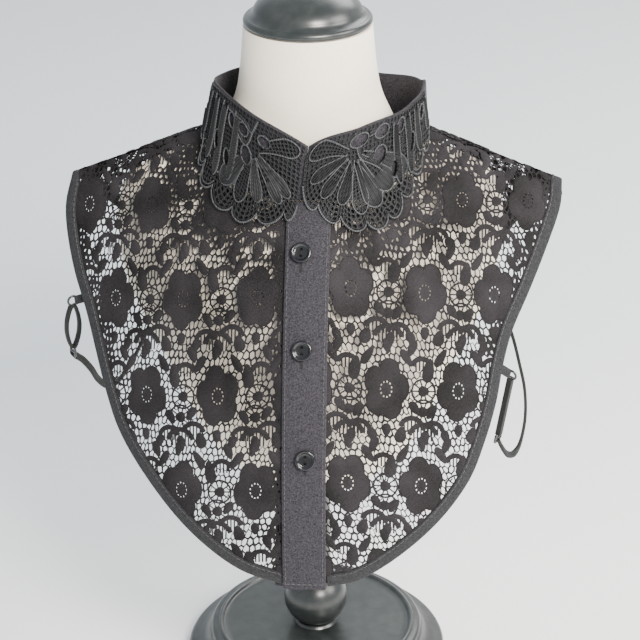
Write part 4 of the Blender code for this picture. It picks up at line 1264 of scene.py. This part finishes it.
def turned_mesh(name, profile, steps, material, matrix=None):
    """A solid turned about Z from its outline of radius and height, top to bottom, in millimetres."""
    profile = np.array(profile)
    angle = np.arange(steps) / steps * 2 * math.pi
    rings = np.stack([profile[:, None, 0] * np.cos(angle), profile[:, None, 0] * np.sin(angle),
                      np.broadcast_to(profile[:, None, 1], (len(profile), steps))], axis=-1)
    points = rings.reshape(-1, 3)
    if matrix is not None:
        points = points @ matrix[:3, :3].T + matrix[:3, 3]
    faces = strip_faces(len(profile), steps, False)
    return mesh_object(name, points * MM if matrix is None else to_world(points), faces, material)


def rounded(profile, radius=0.4, count=4):
    """The outline with its inner corners eased."""
    eased = [profile[0]]
    for before, corner, after in zip(profile, profile[1:], profile[2:]):
        before, corner, after = (np.array(p, float) for p in (before, corner, after))
        back, ahead = before - corner, after - corner
        cut = min(radius, 0.45 * np.linalg.norm(back), 0.45 * np.linalg.norm(ahead))
        start = corner + back / np.linalg.norm(back) * cut
        stop = corner + ahead / np.linalg.norm(ahead) * cut
        for t in np.linspace(0, 1, count):
            eased.append((1 - t) ** 2 * start + 2 * t * (1 - t) * corner + t ** 2 * stop)
    eased.append(profile[-1])
    return eased


def build_buttons(materials):
    r = BUTTON_RADIUS
    outline = rounded([(0.01, 1.35), (r * 0.3, 1.35), (r * 0.62, 1.5), (r * 0.70, 1.95), (r * 0.80, 2.45),
                       (r * 0.92, 2.42), (r, 1.7), (r * 0.95, 0.7), (r * 0.78, 0.0), (0.01, 0.0)], 0.45)
    for name, (across, height) in BUTTON_PLACES.items():
        seat = FRONT.at_height(across, height, PLACKET_OUT + PLACKET_WALL / 2 + BUTTON_CLEAR)
        normal = normalised(FRONT.at_height(across, height, 1.0) - FRONT.at_height(across, height, 0.0))
        turn = Vector(normal).to_track_quat("Z", "Y").to_matrix()
        matrix = np.eye(4)
        matrix[:3, :3] = np.array(turn) @ np.array(Matrix.Rotation(BUTTON_TILT[name], 3, "X"))
        matrix[:3, 3] = seat
        body = turned_mesh(f"{name}_body", outline, 72, materials["button"], matrix)
        drill = [(0.01, 6), (HOLE_RADIUS, 6), (HOLE_RADIUS, -6), (0.01, -6)]
        cutters = [turned_mesh(f"hole_{k}", drill, 20, materials["button"],
                               matrix @ np.array(Matrix.Translation((0, k * HOLE_SPACING, 0))))
                   for k in (-1, 1)]
        for cutter in cutters:
            hole = body.modifiers.new("hole", "BOOLEAN")
            hole.operation = "DIFFERENCE"
            hole.solver = "EXACT"
            hole.object = cutter
        body.data = bpy.data.meshes.new_from_object(body.evaluated_get(bpy.context.evaluated_depsgraph_get()))
        body.modifiers.clear()
        for cutter in cutters:
            bpy.data.objects.remove(cutter, do_unlink=True)
        body.data.set_sharp_from_angle(angle=math.radians(SHARP_ANGLE))
        dress(body, "button", name)
        lines = []
        for side in THREAD_ROWS:
            local = np.array([(side, y, z) for y, z in (
                (-HOLE_SPACING, 0.3), (-HOLE_SPACING + 0.25, 1.3), (-0.7, 1.72), (0.7, 1.72),
                (HOLE_SPACING - 0.25, 1.3), (HOLE_SPACING, 0.3))])
            lines.append(smooth_path(local @ matrix[:3, :3].T + matrix[:3, 3], 18))
        dress(cords(f"{name}_thread", lines, THREAD_RADIUS, materials["dark_thread"], 6), "button")


# Adjuster straps


def unit(vector):
    return np.asarray(vector, float) / np.linalg.norm(vector)


def strap_mesh(name, points, face, width, thickness, material, count):
    """A flat elastic strap with rounded edges along a path, its broad side turned the given way."""
    line = resample(np.array(points, float), count)
    ahead = normalised(np.gradient(line, axis=0))
    across = normalised(np.cross(ahead, np.asarray(face, float)))
    out = np.cross(across, ahead)

    def place(share, u, h):
        i = int(round(share * (count - 1)))
        return line[i] + across[i] * (u * width / 2)[:, None] + out[i] * (h * thickness / 2)[:, None]

    return ribbon(name, place, count, STRAP_SECTION, material)


def ring_mesh(name, middle, axis, material):
    turn = np.array(Vector(axis).to_track_quat("Z", "Y").to_matrix())
    angle = np.arange(RING_POINTS) / RING_POINTS * 2 * math.pi
    wire = np.arange(WIRE_POINTS) / WIRE_POINTS * 2 * math.pi
    radius = RING_RADIUS + RING_WIRE * np.cos(wire)[None, :]
    radius_shape = (RING_POINTS, WIRE_POINTS)
    local = np.stack([radius * np.cos(angle)[:, None], radius * np.sin(angle)[:, None],
                      np.broadcast_to(RING_WIRE * np.sin(wire)[None, :], radius_shape)], axis=-1)
    faces = strip_faces(RING_POINTS, WIRE_POINTS, True)
    return mesh_object(name, to_world(local.reshape(-1, 3) @ turn.T + middle), faces, material)


def slider_mesh(name, middle, run, outward, material):
    """A moulded figure-eight adjuster: a rounded frame with a bar between its two slots."""
    up = -run
    side = np.cross(up, outward)
    frame_line = []
    for angle in np.linspace(0, 2 * math.pi, 56, endpoint=False):
        c, s = math.cos(angle), math.sin(angle)
        frame_line.append((math.copysign(abs(c) ** 0.35, c) * (SLIDER_HALF_WIDTH - 0.6),
                           math.copysign(abs(s) ** 0.35, s) * (SLIDER_HALF_HEIGHT - 0.6)))
    flat = Flat()
    flat.sweep(np.array(frame_line), 0.6, 0.8, profile=ROUND_BAR, closed=True)
    flat.sweep(((-SLIDER_HALF_WIDTH + 0.7, 0.0), (0.0, 0.0), (SLIDER_HALF_WIDTH - 0.7, 0.0)), 0.6, 0.7,
               profile=ROUND_BAR)

    def bend(points):
        return middle + points[:, :1] * side + points[:, 1:2] * up + points[:, 2:] * outward

    return flat.build(name, bend, material)


def build_strap(side, materials):
    sign = side_sign(side)
    ring, slider = np.array(RINGS[side]), np.array(SLIDERS[side])
    run = unit(slider - ring)
    outward = unit((sign, -0.6, 0.0))
    across = unit(np.cross(run, outward))
    outward = np.cross(across, run)
    dress(ring_mesh(f"ring_{side}", ring, across, materials["ring"]), "ring", f"strap_ring_{side}")
    reach = RING_RADIUS + RING_WIRE + 0.3
    tab_x, tab_z = TAB_ROOTS[side]
    root = FRONT.at_height(tab_x, tab_z, -BINDING_HALF - 0.3 - TAB_WALL)
    facing = (root - FRONT.at_height(tab_x, tab_z)) * (-sign, -1, -1)
    root = root * (sign, 1, 1)
    tip = ring + unit(root - ring) * (RING_RADIUS - 1.2)
    tab = strap_mesh(f"tab_{side}", [root, (root + tip) / 2, tip], facing, STRAP_WIDTH + 1.2, TAB_WALL,
                     materials["bias"], 16)
    dress(tab, "cloth", f"strap_tab_{side}")
    length = np.linalg.norm(slider - ring)
    low = length - SLIDER_HALF_HEIGHT + 0.8
    for strand, name in ((1.0, "outer"), (-1.0, "inner")):
        points = []
        for share in np.linspace(0, 1, 15):
            along = reach - 1.4 + (low - reach + 1.4) * share
            bow = STRAP_WALL * 0.5 + 0.2 + STRAP_SPREAD[side] * math.sin(math.pi * share) ** 0.8
            points.append(ring + run * along + outward * strand * bow)
        item = strap_mesh(f"strap_{name}_{side}_elastic", points, outward, STRAP_WIDTH, ELASTIC_THICK,
                          materials["strap"], STRAND_POINTS)
        dress(item, "strap", f"strap_{name}_{side}")
    item = slider_mesh(f"slider_{side}", slider, run, outward, materials["ring"])
    dress(item, "ring", f"strap_slider_{side}")
    sewn = [BACK.at_height(x, z, out) * (sign, 1, 1) for x, z, out in STRAP_ENDS[side]]
    route = np.vstack([slider + run * 0.8, smooth_path([*STRAP_ROUTES[side], *sewn], 100)])
    turn = np.clip((np.linspace(0, 1, LONG_STRAP_POINTS) - 0.85) / 0.13, 0, 1)[:, None]
    face = (1 - turn) * (sign, 0.12, 0.2) + turn * (0.3 * sign, 1.0, 0.0)
    item = strap_mesh(f"strap_long_{side}_elastic", route, face, STRAP_WIDTH, ELASTIC_THICK,
                      materials["strap"], LONG_STRAP_POINTS)
    dress(item, "strap", f"strap_long_{side}")


# Dress form and stand


def build_form(materials):
    sections = smooth_path(FORM_SECTIONS, 150)
    angle = np.arange(FORM_AROUND) / FORM_AROUND * 2 * math.pi
    rings = []
    for z, half, front, back, power in sections:
        c, s = np.cos(angle), np.sin(angle)
        x = half * np.sign(c) * np.abs(c) ** (2 / power)
        y = np.where(s > 0, back, front) * np.sign(s) * np.abs(s) ** (2 / power)
        rings.append(np.column_stack([x, y, np.full(FORM_AROUND, z)]))
    item = mesh_object("form_cover", np.vstack(rings) * MM, strip_faces(len(rings), FORM_AROUND, False),
                       materials["form"])
    dress(item, "form_cloth", "form_torso")


def arc(cx, cz, radius, start, stop, count):
    """Points of a turned outline along an arc, angles in degrees from +X."""
    return [(cx + radius * math.cos(a), cz + radius * math.sin(a))
            for a in np.radians(np.linspace(start, stop, count + 1))]


def build_stand(materials):
    wood = materials["wood"]
    base = [(0.01, BASE_HEIGHT), (BASE_STEP_RADIUS - 12.0, BASE_HEIGHT),
            (BASE_STEP_RADIUS - 8.6, BASE_HEIGHT - 0.2)]
    base += arc(BASE_STEP_RADIUS - 6.0, BASE_HEIGHT - 0.1, BEAD_RADIUS + 0.1, 170, 10, 8)
    base += arc(BASE_STEP_RADIUS - 2.5, BASE_HEIGHT - 2.6, 2.6, 80, 0, 6)
    base += smooth_path([(BASE_STEP_RADIUS + 0.4, 18.6), (BASE_STEP_RADIUS + 1.4, 16.0),
                         (BASE_STEP_RADIUS + 4.5, 12.4), (BASE_STEP_RADIUS + 9.0, 10.2)], 12).tolist()
    base += arc(BASE_RADIUS - 3.2, BASE_RIM_HEIGHT - 1.5, 3.2, 75, -10, 10)
    base += [(BASE_RADIUS - 0.9, 1.5), (BASE_RADIUS - 1.8, 0.0), (0.01, 0.0)]
    dress(turned_mesh("turned_base", base, ROUND_AROUND, wood), "black_wood", "stand_base")
    low = BASE_HEIGHT + TURNED_GAP
    middle = low + KNOB_HEIGHT / 2
    knob = [(0.01, low + KNOB_HEIGHT)]
    knob += [(KNOB_RADIUS * math.sin(a) ** 0.8, middle + KNOB_HEIGHT / 2 * math.cos(a))
             for a in np.radians(np.linspace(30, 152, 36))]
    knob += [(0.01, knob[-1][1])]
    dress(turned_mesh("turned_knob", knob, TURNED_AROUND, wood), "black_wood", "stand_knob")
    foot_top = knob[-1][1] - TURNED_GAP
    foot = [(0.01, foot_top), (KNOB_RADIUS * 0.62, foot_top), (KNOB_RADIUS * 0.7, low), (0.01, low)]
    dress(turned_mesh("turned_foot", rounded(foot, 0.5), TURNED_AROUND, wood), "black_wood", "stand_foot")
    post_low, post_high = low + KNOB_HEIGHT + TURNED_GAP, FORM_BOTTOM - TURNED_GAP
    post = [(0.01, post_high), (POST_RADIUS + 2.0, post_high), (POST_RADIUS + 1.7, post_high - 3.0),
            (POST_RADIUS + 0.5, post_high - 9.0), (POST_RADIUS, post_high - 15.0),
            (POST_RADIUS, post_low + 8.0), (POST_RADIUS + 0.5, post_low + 4.0),
            (POST_RADIUS + 1.6, post_low), (0.01, post_low)]
    dress(turned_mesh("turned_post", rounded(post, 1.0), TURNED_AROUND, wood), "black_wood", "stand_post")
    cap = [(0.01, CAP_BOTTOM + CAP_RISE)]
    cap += [((CAP_RADIUS - CAP_LIP) * math.sin(a), CAP_BOTTOM + CAP_LIP + (CAP_RISE - CAP_LIP) * math.cos(a))
            for a in np.radians(np.linspace(8, 82, 26))]
    cap += arc(CAP_RADIUS - CAP_LIP / 2, CAP_BOTTOM + CAP_LIP / 2, CAP_LIP / 2, 95, -80, 14)
    cap += [(0.01, CAP_BOTTOM)]
    dress(turned_mesh("turned_cap", cap, ROUND_AROUND, wood), "black_wood", "form_neck_cap")


# Finishes


class Finish:
    """A Principled material whose colour and bump come from small procedural nodes."""

    def __init__(self, name, colour, roughness, **sockets):
        self.material = bpy.data.materials.new(name)
        self.material.use_nodes = True
        self.tree = self.material.node_tree
        self.shader = self.tree.nodes["Principled BSDF"]
        self.shader.inputs["Base Color"].default_value = (*colour, 1.0)
        self.shader.inputs["Roughness"].default_value = roughness
        for socket, value in sockets.items():
            self.shader.inputs[socket.replace("_", " ")].default_value = value
        self.place = self.add("ShaderNodeTexCoord").outputs["Object"]

    def add(self, kind, values=(), links=(), **settings):
        node = self.tree.nodes.new(kind)
        for key, value in settings.items():
            setattr(node, key, value)
        for socket, value in dict(values).items():
            node.inputs[socket].default_value = value
        for socket, source in dict(links).items():
            self.tree.links.new(source, node.inputs[socket])
        return node

    def cloth_place(self):
        return self.add("ShaderNodeUVMap", uv_map="cloth").outputs["UV"]

    def noise(self, scale, detail=2.0, place=None):
        made = self.add("ShaderNodeTexNoise", {"Scale": scale, "Detail": detail},
                        {"Vector": place or self.place})
        return made.outputs["Fac"]

    def wave(self, scale, place=None, direction="X", distortion=0.0):
        made = self.add("ShaderNodeTexWave", {"Scale": scale, "Distortion": distortion, "Detail": 1.0},
                        {"Vector": place or self.place}, bands_direction=direction)
        return made.outputs["Fac"]

    def math(self, operation, first, second):
        made = self.add("ShaderNodeMath", operation=operation)
        for socket, value in zip(made.inputs, (first, second)):
            if isinstance(value, (int, float)):
                socket.default_value = value
            else:
                self.tree.links.new(value, socket)
        return made.outputs["Value"]

    def colours(self, factor, low, high, start=0.3, stop=0.7):
        ramp = self.add("ShaderNodeValToRGB", links={"Fac": factor})
        ramp.color_ramp.elements[0].position, ramp.color_ramp.elements[1].position = start, stop
        ramp.color_ramp.elements[0].color, ramp.color_ramp.elements[1].color = (*low, 1.0), (*high, 1.0)
        self.tree.links.new(ramp.outputs["Color"], self.shader.inputs["Base Color"])
        return self

    def rough(self, factor, low, high):
        spread = self.add("ShaderNodeMapRange", {"To Min": low, "To Max": high}, {"Value": factor})
        self.tree.links.new(spread.outputs["Result"], self.shader.inputs["Roughness"])
        return self

    def bump(self, height, distance, strength=1.0):
        made = self.add("ShaderNodeBump", {"Strength": strength, "Distance": distance * MM},
                        {"Height": height})
        self.tree.links.new(made.outputs["Normal"], self.shader.inputs["Normal"])
        return self


def make_finishes():
    lace = Finish("black_lace", (0.010, 0.009, 0.010), 0.82, Specular_IOR_Level=0.2)
    uv = lace.cloth_place()
    tone = lace.noise(45.0, 1.0)
    grain = lace.noise(1500.0, 3.0)
    weave = lace.wave(260.0, uv, "DIAGONAL", 2.5)
    lace.colours(lace.math("ADD", lace.math("MULTIPLY", tone, 0.45), lace.math("MULTIPLY", grain, 0.55)),
                 (0.003, 0.0025, 0.0025), (0.026, 0.023, 0.026), 0.36, 0.70)
    lace.bump(lace.math("ADD", lace.math("MULTIPLY", weave, 0.35), grain), 0.16)

    def corded(name, low, high, rough, sheen):
        made = Finish(name, high, rough, Sheen_Weight=sheen, Sheen_Roughness=0.4, Specular_IOR_Level=0.25)
        thread = made.wave(330.0, made.cloth_place(), "DIAGONAL", 1.5)
        made.colours(made.math("ADD", made.math("MULTIPLY", made.noise(700.0), 0.6),
                               made.math("MULTIPLY", thread, 0.4)), low, high, 0.3, 0.8)
        made.bump(thread, 0.12)
        return made.material

    def cotton(name, low, high):
        made = Finish(name, high, 0.85, Sheen_Weight=0.04, Sheen_Roughness=0.5, Specular_IOR_Level=0.25)
        grain = made.noise(1250.0, 3.0)
        made.colours(grain, low, high, 0.30, 0.72)
        made.bump(grain, 0.16)
        return made.material

    button = Finish("black_resin", (0.004, 0.004, 0.005), 0.2, Coat_Weight=0.2, Coat_Roughness=0.1)
    button.rough(button.noise(300.0), 0.12, 0.26)

    strap = Finish("black_elastic", (0.010, 0.012, 0.011), 0.65, Specular_IOR_Level=0.3)
    uv = strap.cloth_place()
    ribs = strap.math("MULTIPLY", strap.wave(300.0, uv, "X"), strap.wave(260.0, uv, "Y"))
    strap.colours(ribs, (0.005, 0.007, 0.006), (0.022, 0.026, 0.024), 0.1, 0.9)
    strap.bump(ribs, 0.10)

    ring = Finish("black_enamel", (0.02, 0.02, 0.022), 0.22, Coat_Weight=0.3)
    ring.rough(ring.noise(500.0), 0.15, 0.35)

    form = Finish("cream_jersey", (0.80, 0.75, 0.68), 0.9, Sheen_Weight=0.15, Sheen_Roughness=0.6)
    knit = form.noise(900.0, 2.0)
    form.colours(form.math("ADD", form.math("MULTIPLY", knit, 0.5),
                           form.math("MULTIPLY", form.noise(22.0), 0.5)),
                 (0.86, 0.76, 0.61), (0.95, 0.88, 0.77), 0.3, 0.7)
    form.bump(knit, 0.10)

    wood = Finish("black_paint", (0.045, 0.050, 0.050), 0.36, Coat_Weight=0.15, Coat_Roughness=0.3)
    grain = wood.noise(140.0, 4.0)
    wood.colours(grain, (0.012, 0.015, 0.015), (0.026, 0.030, 0.029), 0.35, 0.7)
    wood.rough(wood.noise(60.0), 0.24, 0.38)
    wood.bump(grain, 0.03)

    return {
        "lace": lace.material,
        "guipure": corded("black_guipure", (0.0035, 0.0038, 0.0042), (0.018, 0.019, 0.021), 0.65, 0.03),
        # The cords' colour, lighter than the guipure's, is painted sheen: it stands for the highlights on the
        # satin cords.
        "painted_sheen_cord": corded("cord_with_painted_sheen", (0.024, 0.025, 0.027), (0.078, 0.081, 0.086), 0.45, 0.1),
        "cloth": cotton("black_cotton", (0.005, 0.0045, 0.006), (0.044, 0.041, 0.050)),
        "bias": cotton("black_bias", (0.005, 0.005, 0.006), (0.032, 0.033, 0.036)),
        "thread": Finish("grey_thread", (0.045, 0.043, 0.048), 0.6, Sheen_Weight=0.1).material,
        "dark_thread": Finish("dark_thread", (0.006, 0.006, 0.007), 0.6, Specular_IOR_Level=0.3).material,
        "button": button.material, "strap": strap.material, "ring": ring.material,
        "form": form.material, "wood": wood.material,
    }


# Camera, light and studio


def place_camera():
    pitch, yaw, roll = (math.radians(a) for a in (CAMERA_PITCH, CAMERA_YAW, CAMERA_ROLL))
    ahead = Vector((math.sin(yaw) * math.cos(pitch), math.cos(yaw) * math.cos(pitch), -math.sin(pitch)))
    level = Vector((math.cos(yaw), -math.sin(yaw), 0.0))
    raised = level.cross(ahead)
    right = math.cos(roll) * level + math.sin(roll) * raised
    up = math.cos(roll) * raised - math.sin(roll) * level
    data = bpy.data.cameras.new("camera")
    data.sensor_width = 36.0
    data.lens = data.sensor_width * CAMERA_FOCAL_PX / IMAGE_PX
    camera = bpy.data.objects.new("camera", data)
    bpy.context.scene.collection.objects.link(camera)
    turn = Matrix((right, up, -ahead)).transposed().to_4x4()
    camera.matrix_world = Matrix.Translation(Vector(CAMERA_EYE) * MM) @ turn
    bpy.context.scene.camera = camera


def add_light(name, where, towards, size, power, colour=(1.0, 1.0, 1.0)):
    data = bpy.data.lights.new(name, "AREA")
    data.shape = "RECTANGLE"
    data.size, data.size_y = size
    data.energy = power
    data.color = colour
    lamp = bpy.data.objects.new(name, data)
    bpy.context.scene.collection.objects.link(lamp)
    lamp.location = where
    lamp.rotation_euler = (Vector(where) - Vector(towards)).to_track_quat("Z", "Y").to_euler()


def build_studio():
    profile = [(STUDIO_FRONT, 0.0), (STUDIO_BACK, 0.0)]
    profile += [(STUDIO_BACK + STUDIO_BEND * math.sin(a), STUDIO_BEND - STUDIO_BEND * math.cos(a))
                for a in np.linspace(0.1, math.pi / 2, 16)]
    profile += [(STUDIO_BACK + STUDIO_BEND, STUDIO_HEIGHT)]
    points = [(x, y, z) for x in (-STUDIO_HALF, STUDIO_HALF) for y, z in profile]
    n = len(profile)
    faces = [(i, i + n, i + n + 1, i + 1) for i in range(n - 1)]
    sweep = Finish("pale_paper", (0.80, 0.82, 0.84), 0.9)
    place = sweep.add("ShaderNodeSeparateXYZ", links={"Vector": sweep.place})
    past = sweep.math("MAXIMUM", sweep.math("SUBTRACT", place.outputs["Y"], FLOOR_EDGE), 0.0)
    shade = sweep.math("MULTIPLY", sweep.math("MINIMUM", past, WALL_FADE), -1.2)
    # Painted light: the sweep's colour grows lighter towards +X, the side the lamps light from. Above
    # FLOOR_EDGE the wall is toned darker and bluer than the floor.
    side = sweep.math("ADD", sweep.math("MULTIPLY", place.outputs["X"], 0.7), 0.55)
    sweep.colours(sweep.math("ADD", side, shade), (0.73, 0.78, 0.81), (0.95, 0.945, 0.94), 0.0, 0.8)
    item = mesh_object("studio_sweep", points, faces, sweep.material)
    world = bpy.data.worlds.new("studio")
    bpy.context.scene.world = world
    world.use_nodes = True
    world.node_tree.nodes["Background"].inputs["Color"].default_value = (0.90, 0.94, 1.0, 1.0)
    world.node_tree.nodes["Background"].inputs["Strength"].default_value = WORLD_STRENGTH
    add_light("key", (0.55, -1.35, 1.25), (0.0, 0.0, 0.25), (0.5, 0.5), 72.0, (1.0, 0.95, 0.88))
    add_light("side", (1.5, -0.5, 1.2), (0.0, 0.1, 0.25), (0.9, 0.9), 34.0, (1.0, 0.97, 0.93))
    add_light("rim", (0.6, 0.9, 1.2), (0.0, 0.0, 0.3), (0.8, 0.6), 12.0)


# The object


def hole_sizes(outline, under_lobes, strip_x=0.0):
    """Holes are small under the lobes, nearly closed along the shoulder seam and small beside the closure.
    Under the lobes the small holes are partly denser lace and partly painted shade, darkening the lace as the
    lobes' shadow does.
    """
    neck, shoulder = outline[:NECK_POINTS], outline[NECK_POINTS - 1:NECK_POINTS + SHOULDER_POINTS + 1]
    shoulder = resample(shoulder, 60)
    armhole = outline[NECK_POINTS + SHOULDER_POINTS:][:EDGE_STRIP_POINTS]

    def away(points, line):
        return np.min(np.linalg.norm(points[:, None] - line[None], axis=2), axis=1)

    def factor(points):
        size = np.interp(away(points, shoulder), (SEAM_STRIP, SEAM_STRIP + 4.0), (0.3, 1.0))
        if under_lobes:
            # Partly painted shade: near the neck, under the lobes, the holes shrink to darken the lace as the
            # lobes' shadow does.
            size = np.minimum(size, np.interp(away(points, neck), (0.0, 26.0, 40.0), (0.55, 0.60, 1.0)))
            size = np.minimum(size, np.interp(away(points, armhole), EDGE_STRIP, (0.5, 1.0)))
        return np.where(np.abs(points[:, 0]) < strip_x, np.minimum(size, 0.45), size)
    return factor


def flat_size(outline):
    """Width and length of a flat outline, in metres, and its area."""
    x, y = outline.T * MM
    return (np.ptp(x), np.ptp(y)), 0.5 * abs(x @ np.roll(y, 1) - y @ np.roll(x, 1))


def run_length(points):
    return float(running(points)[-1]) * MM


def build_object():
    materials = make_finishes()
    build_stand(materials)
    build_form(materials)
    for side, points in FRONT_EDGES.items():
        outline = panel_outline(FRONT, points, 8.5)
        item = build_panel(f"lace_{side}", FRONT, side_sign(side), outline, FIRST_FLOWERS[side],
                           FLOWER_PITCH[side], LACE_SEEDS[side], materials["lace"],
                           hole_sizes(outline, True, CLOSURE_STRIP[side]))
        dress(item, "lace", f"front_{side}")
        size, area = flat_size(outline)
    half = panel_outline(BACK, BACK_EDGE, 0.0, True)
    outline = np.vstack([half, (half * (-1, 1))[::-1]])
    item = build_panel("lace_back", BACK, 1.0, outline, (21.0, -10.0), REPEAT_ACROSS, LACE_SEEDS["back"],
                       materials["lace"],
                       lambda points: hole_sizes(half, False)(
                           np.column_stack([np.abs(points[:, 0]), points[:, 1]])))
    dress(item, "lace", "back_panel")
    size, area = flat_size(outline)
    build_bindings(materials)
    build_band(materials)
    for side in ("left", "right"):
        lobe = dress(build_lobe(side, materials["guipure"], materials["painted_sheen_cord"]), "guipure", f"lobe_{side}")
        fold = [lobe_spot(side, LOBE_NOTCHES[side][k][0], 0.6) for k in (-1, 0)]
        size, area = flat_size(np.vstack([lobe_outline(side), fold]))
        build_strap(side, materials)
    build_closure(materials)
    build_buttons(materials)


place_camera()
build_studio()
build_object()
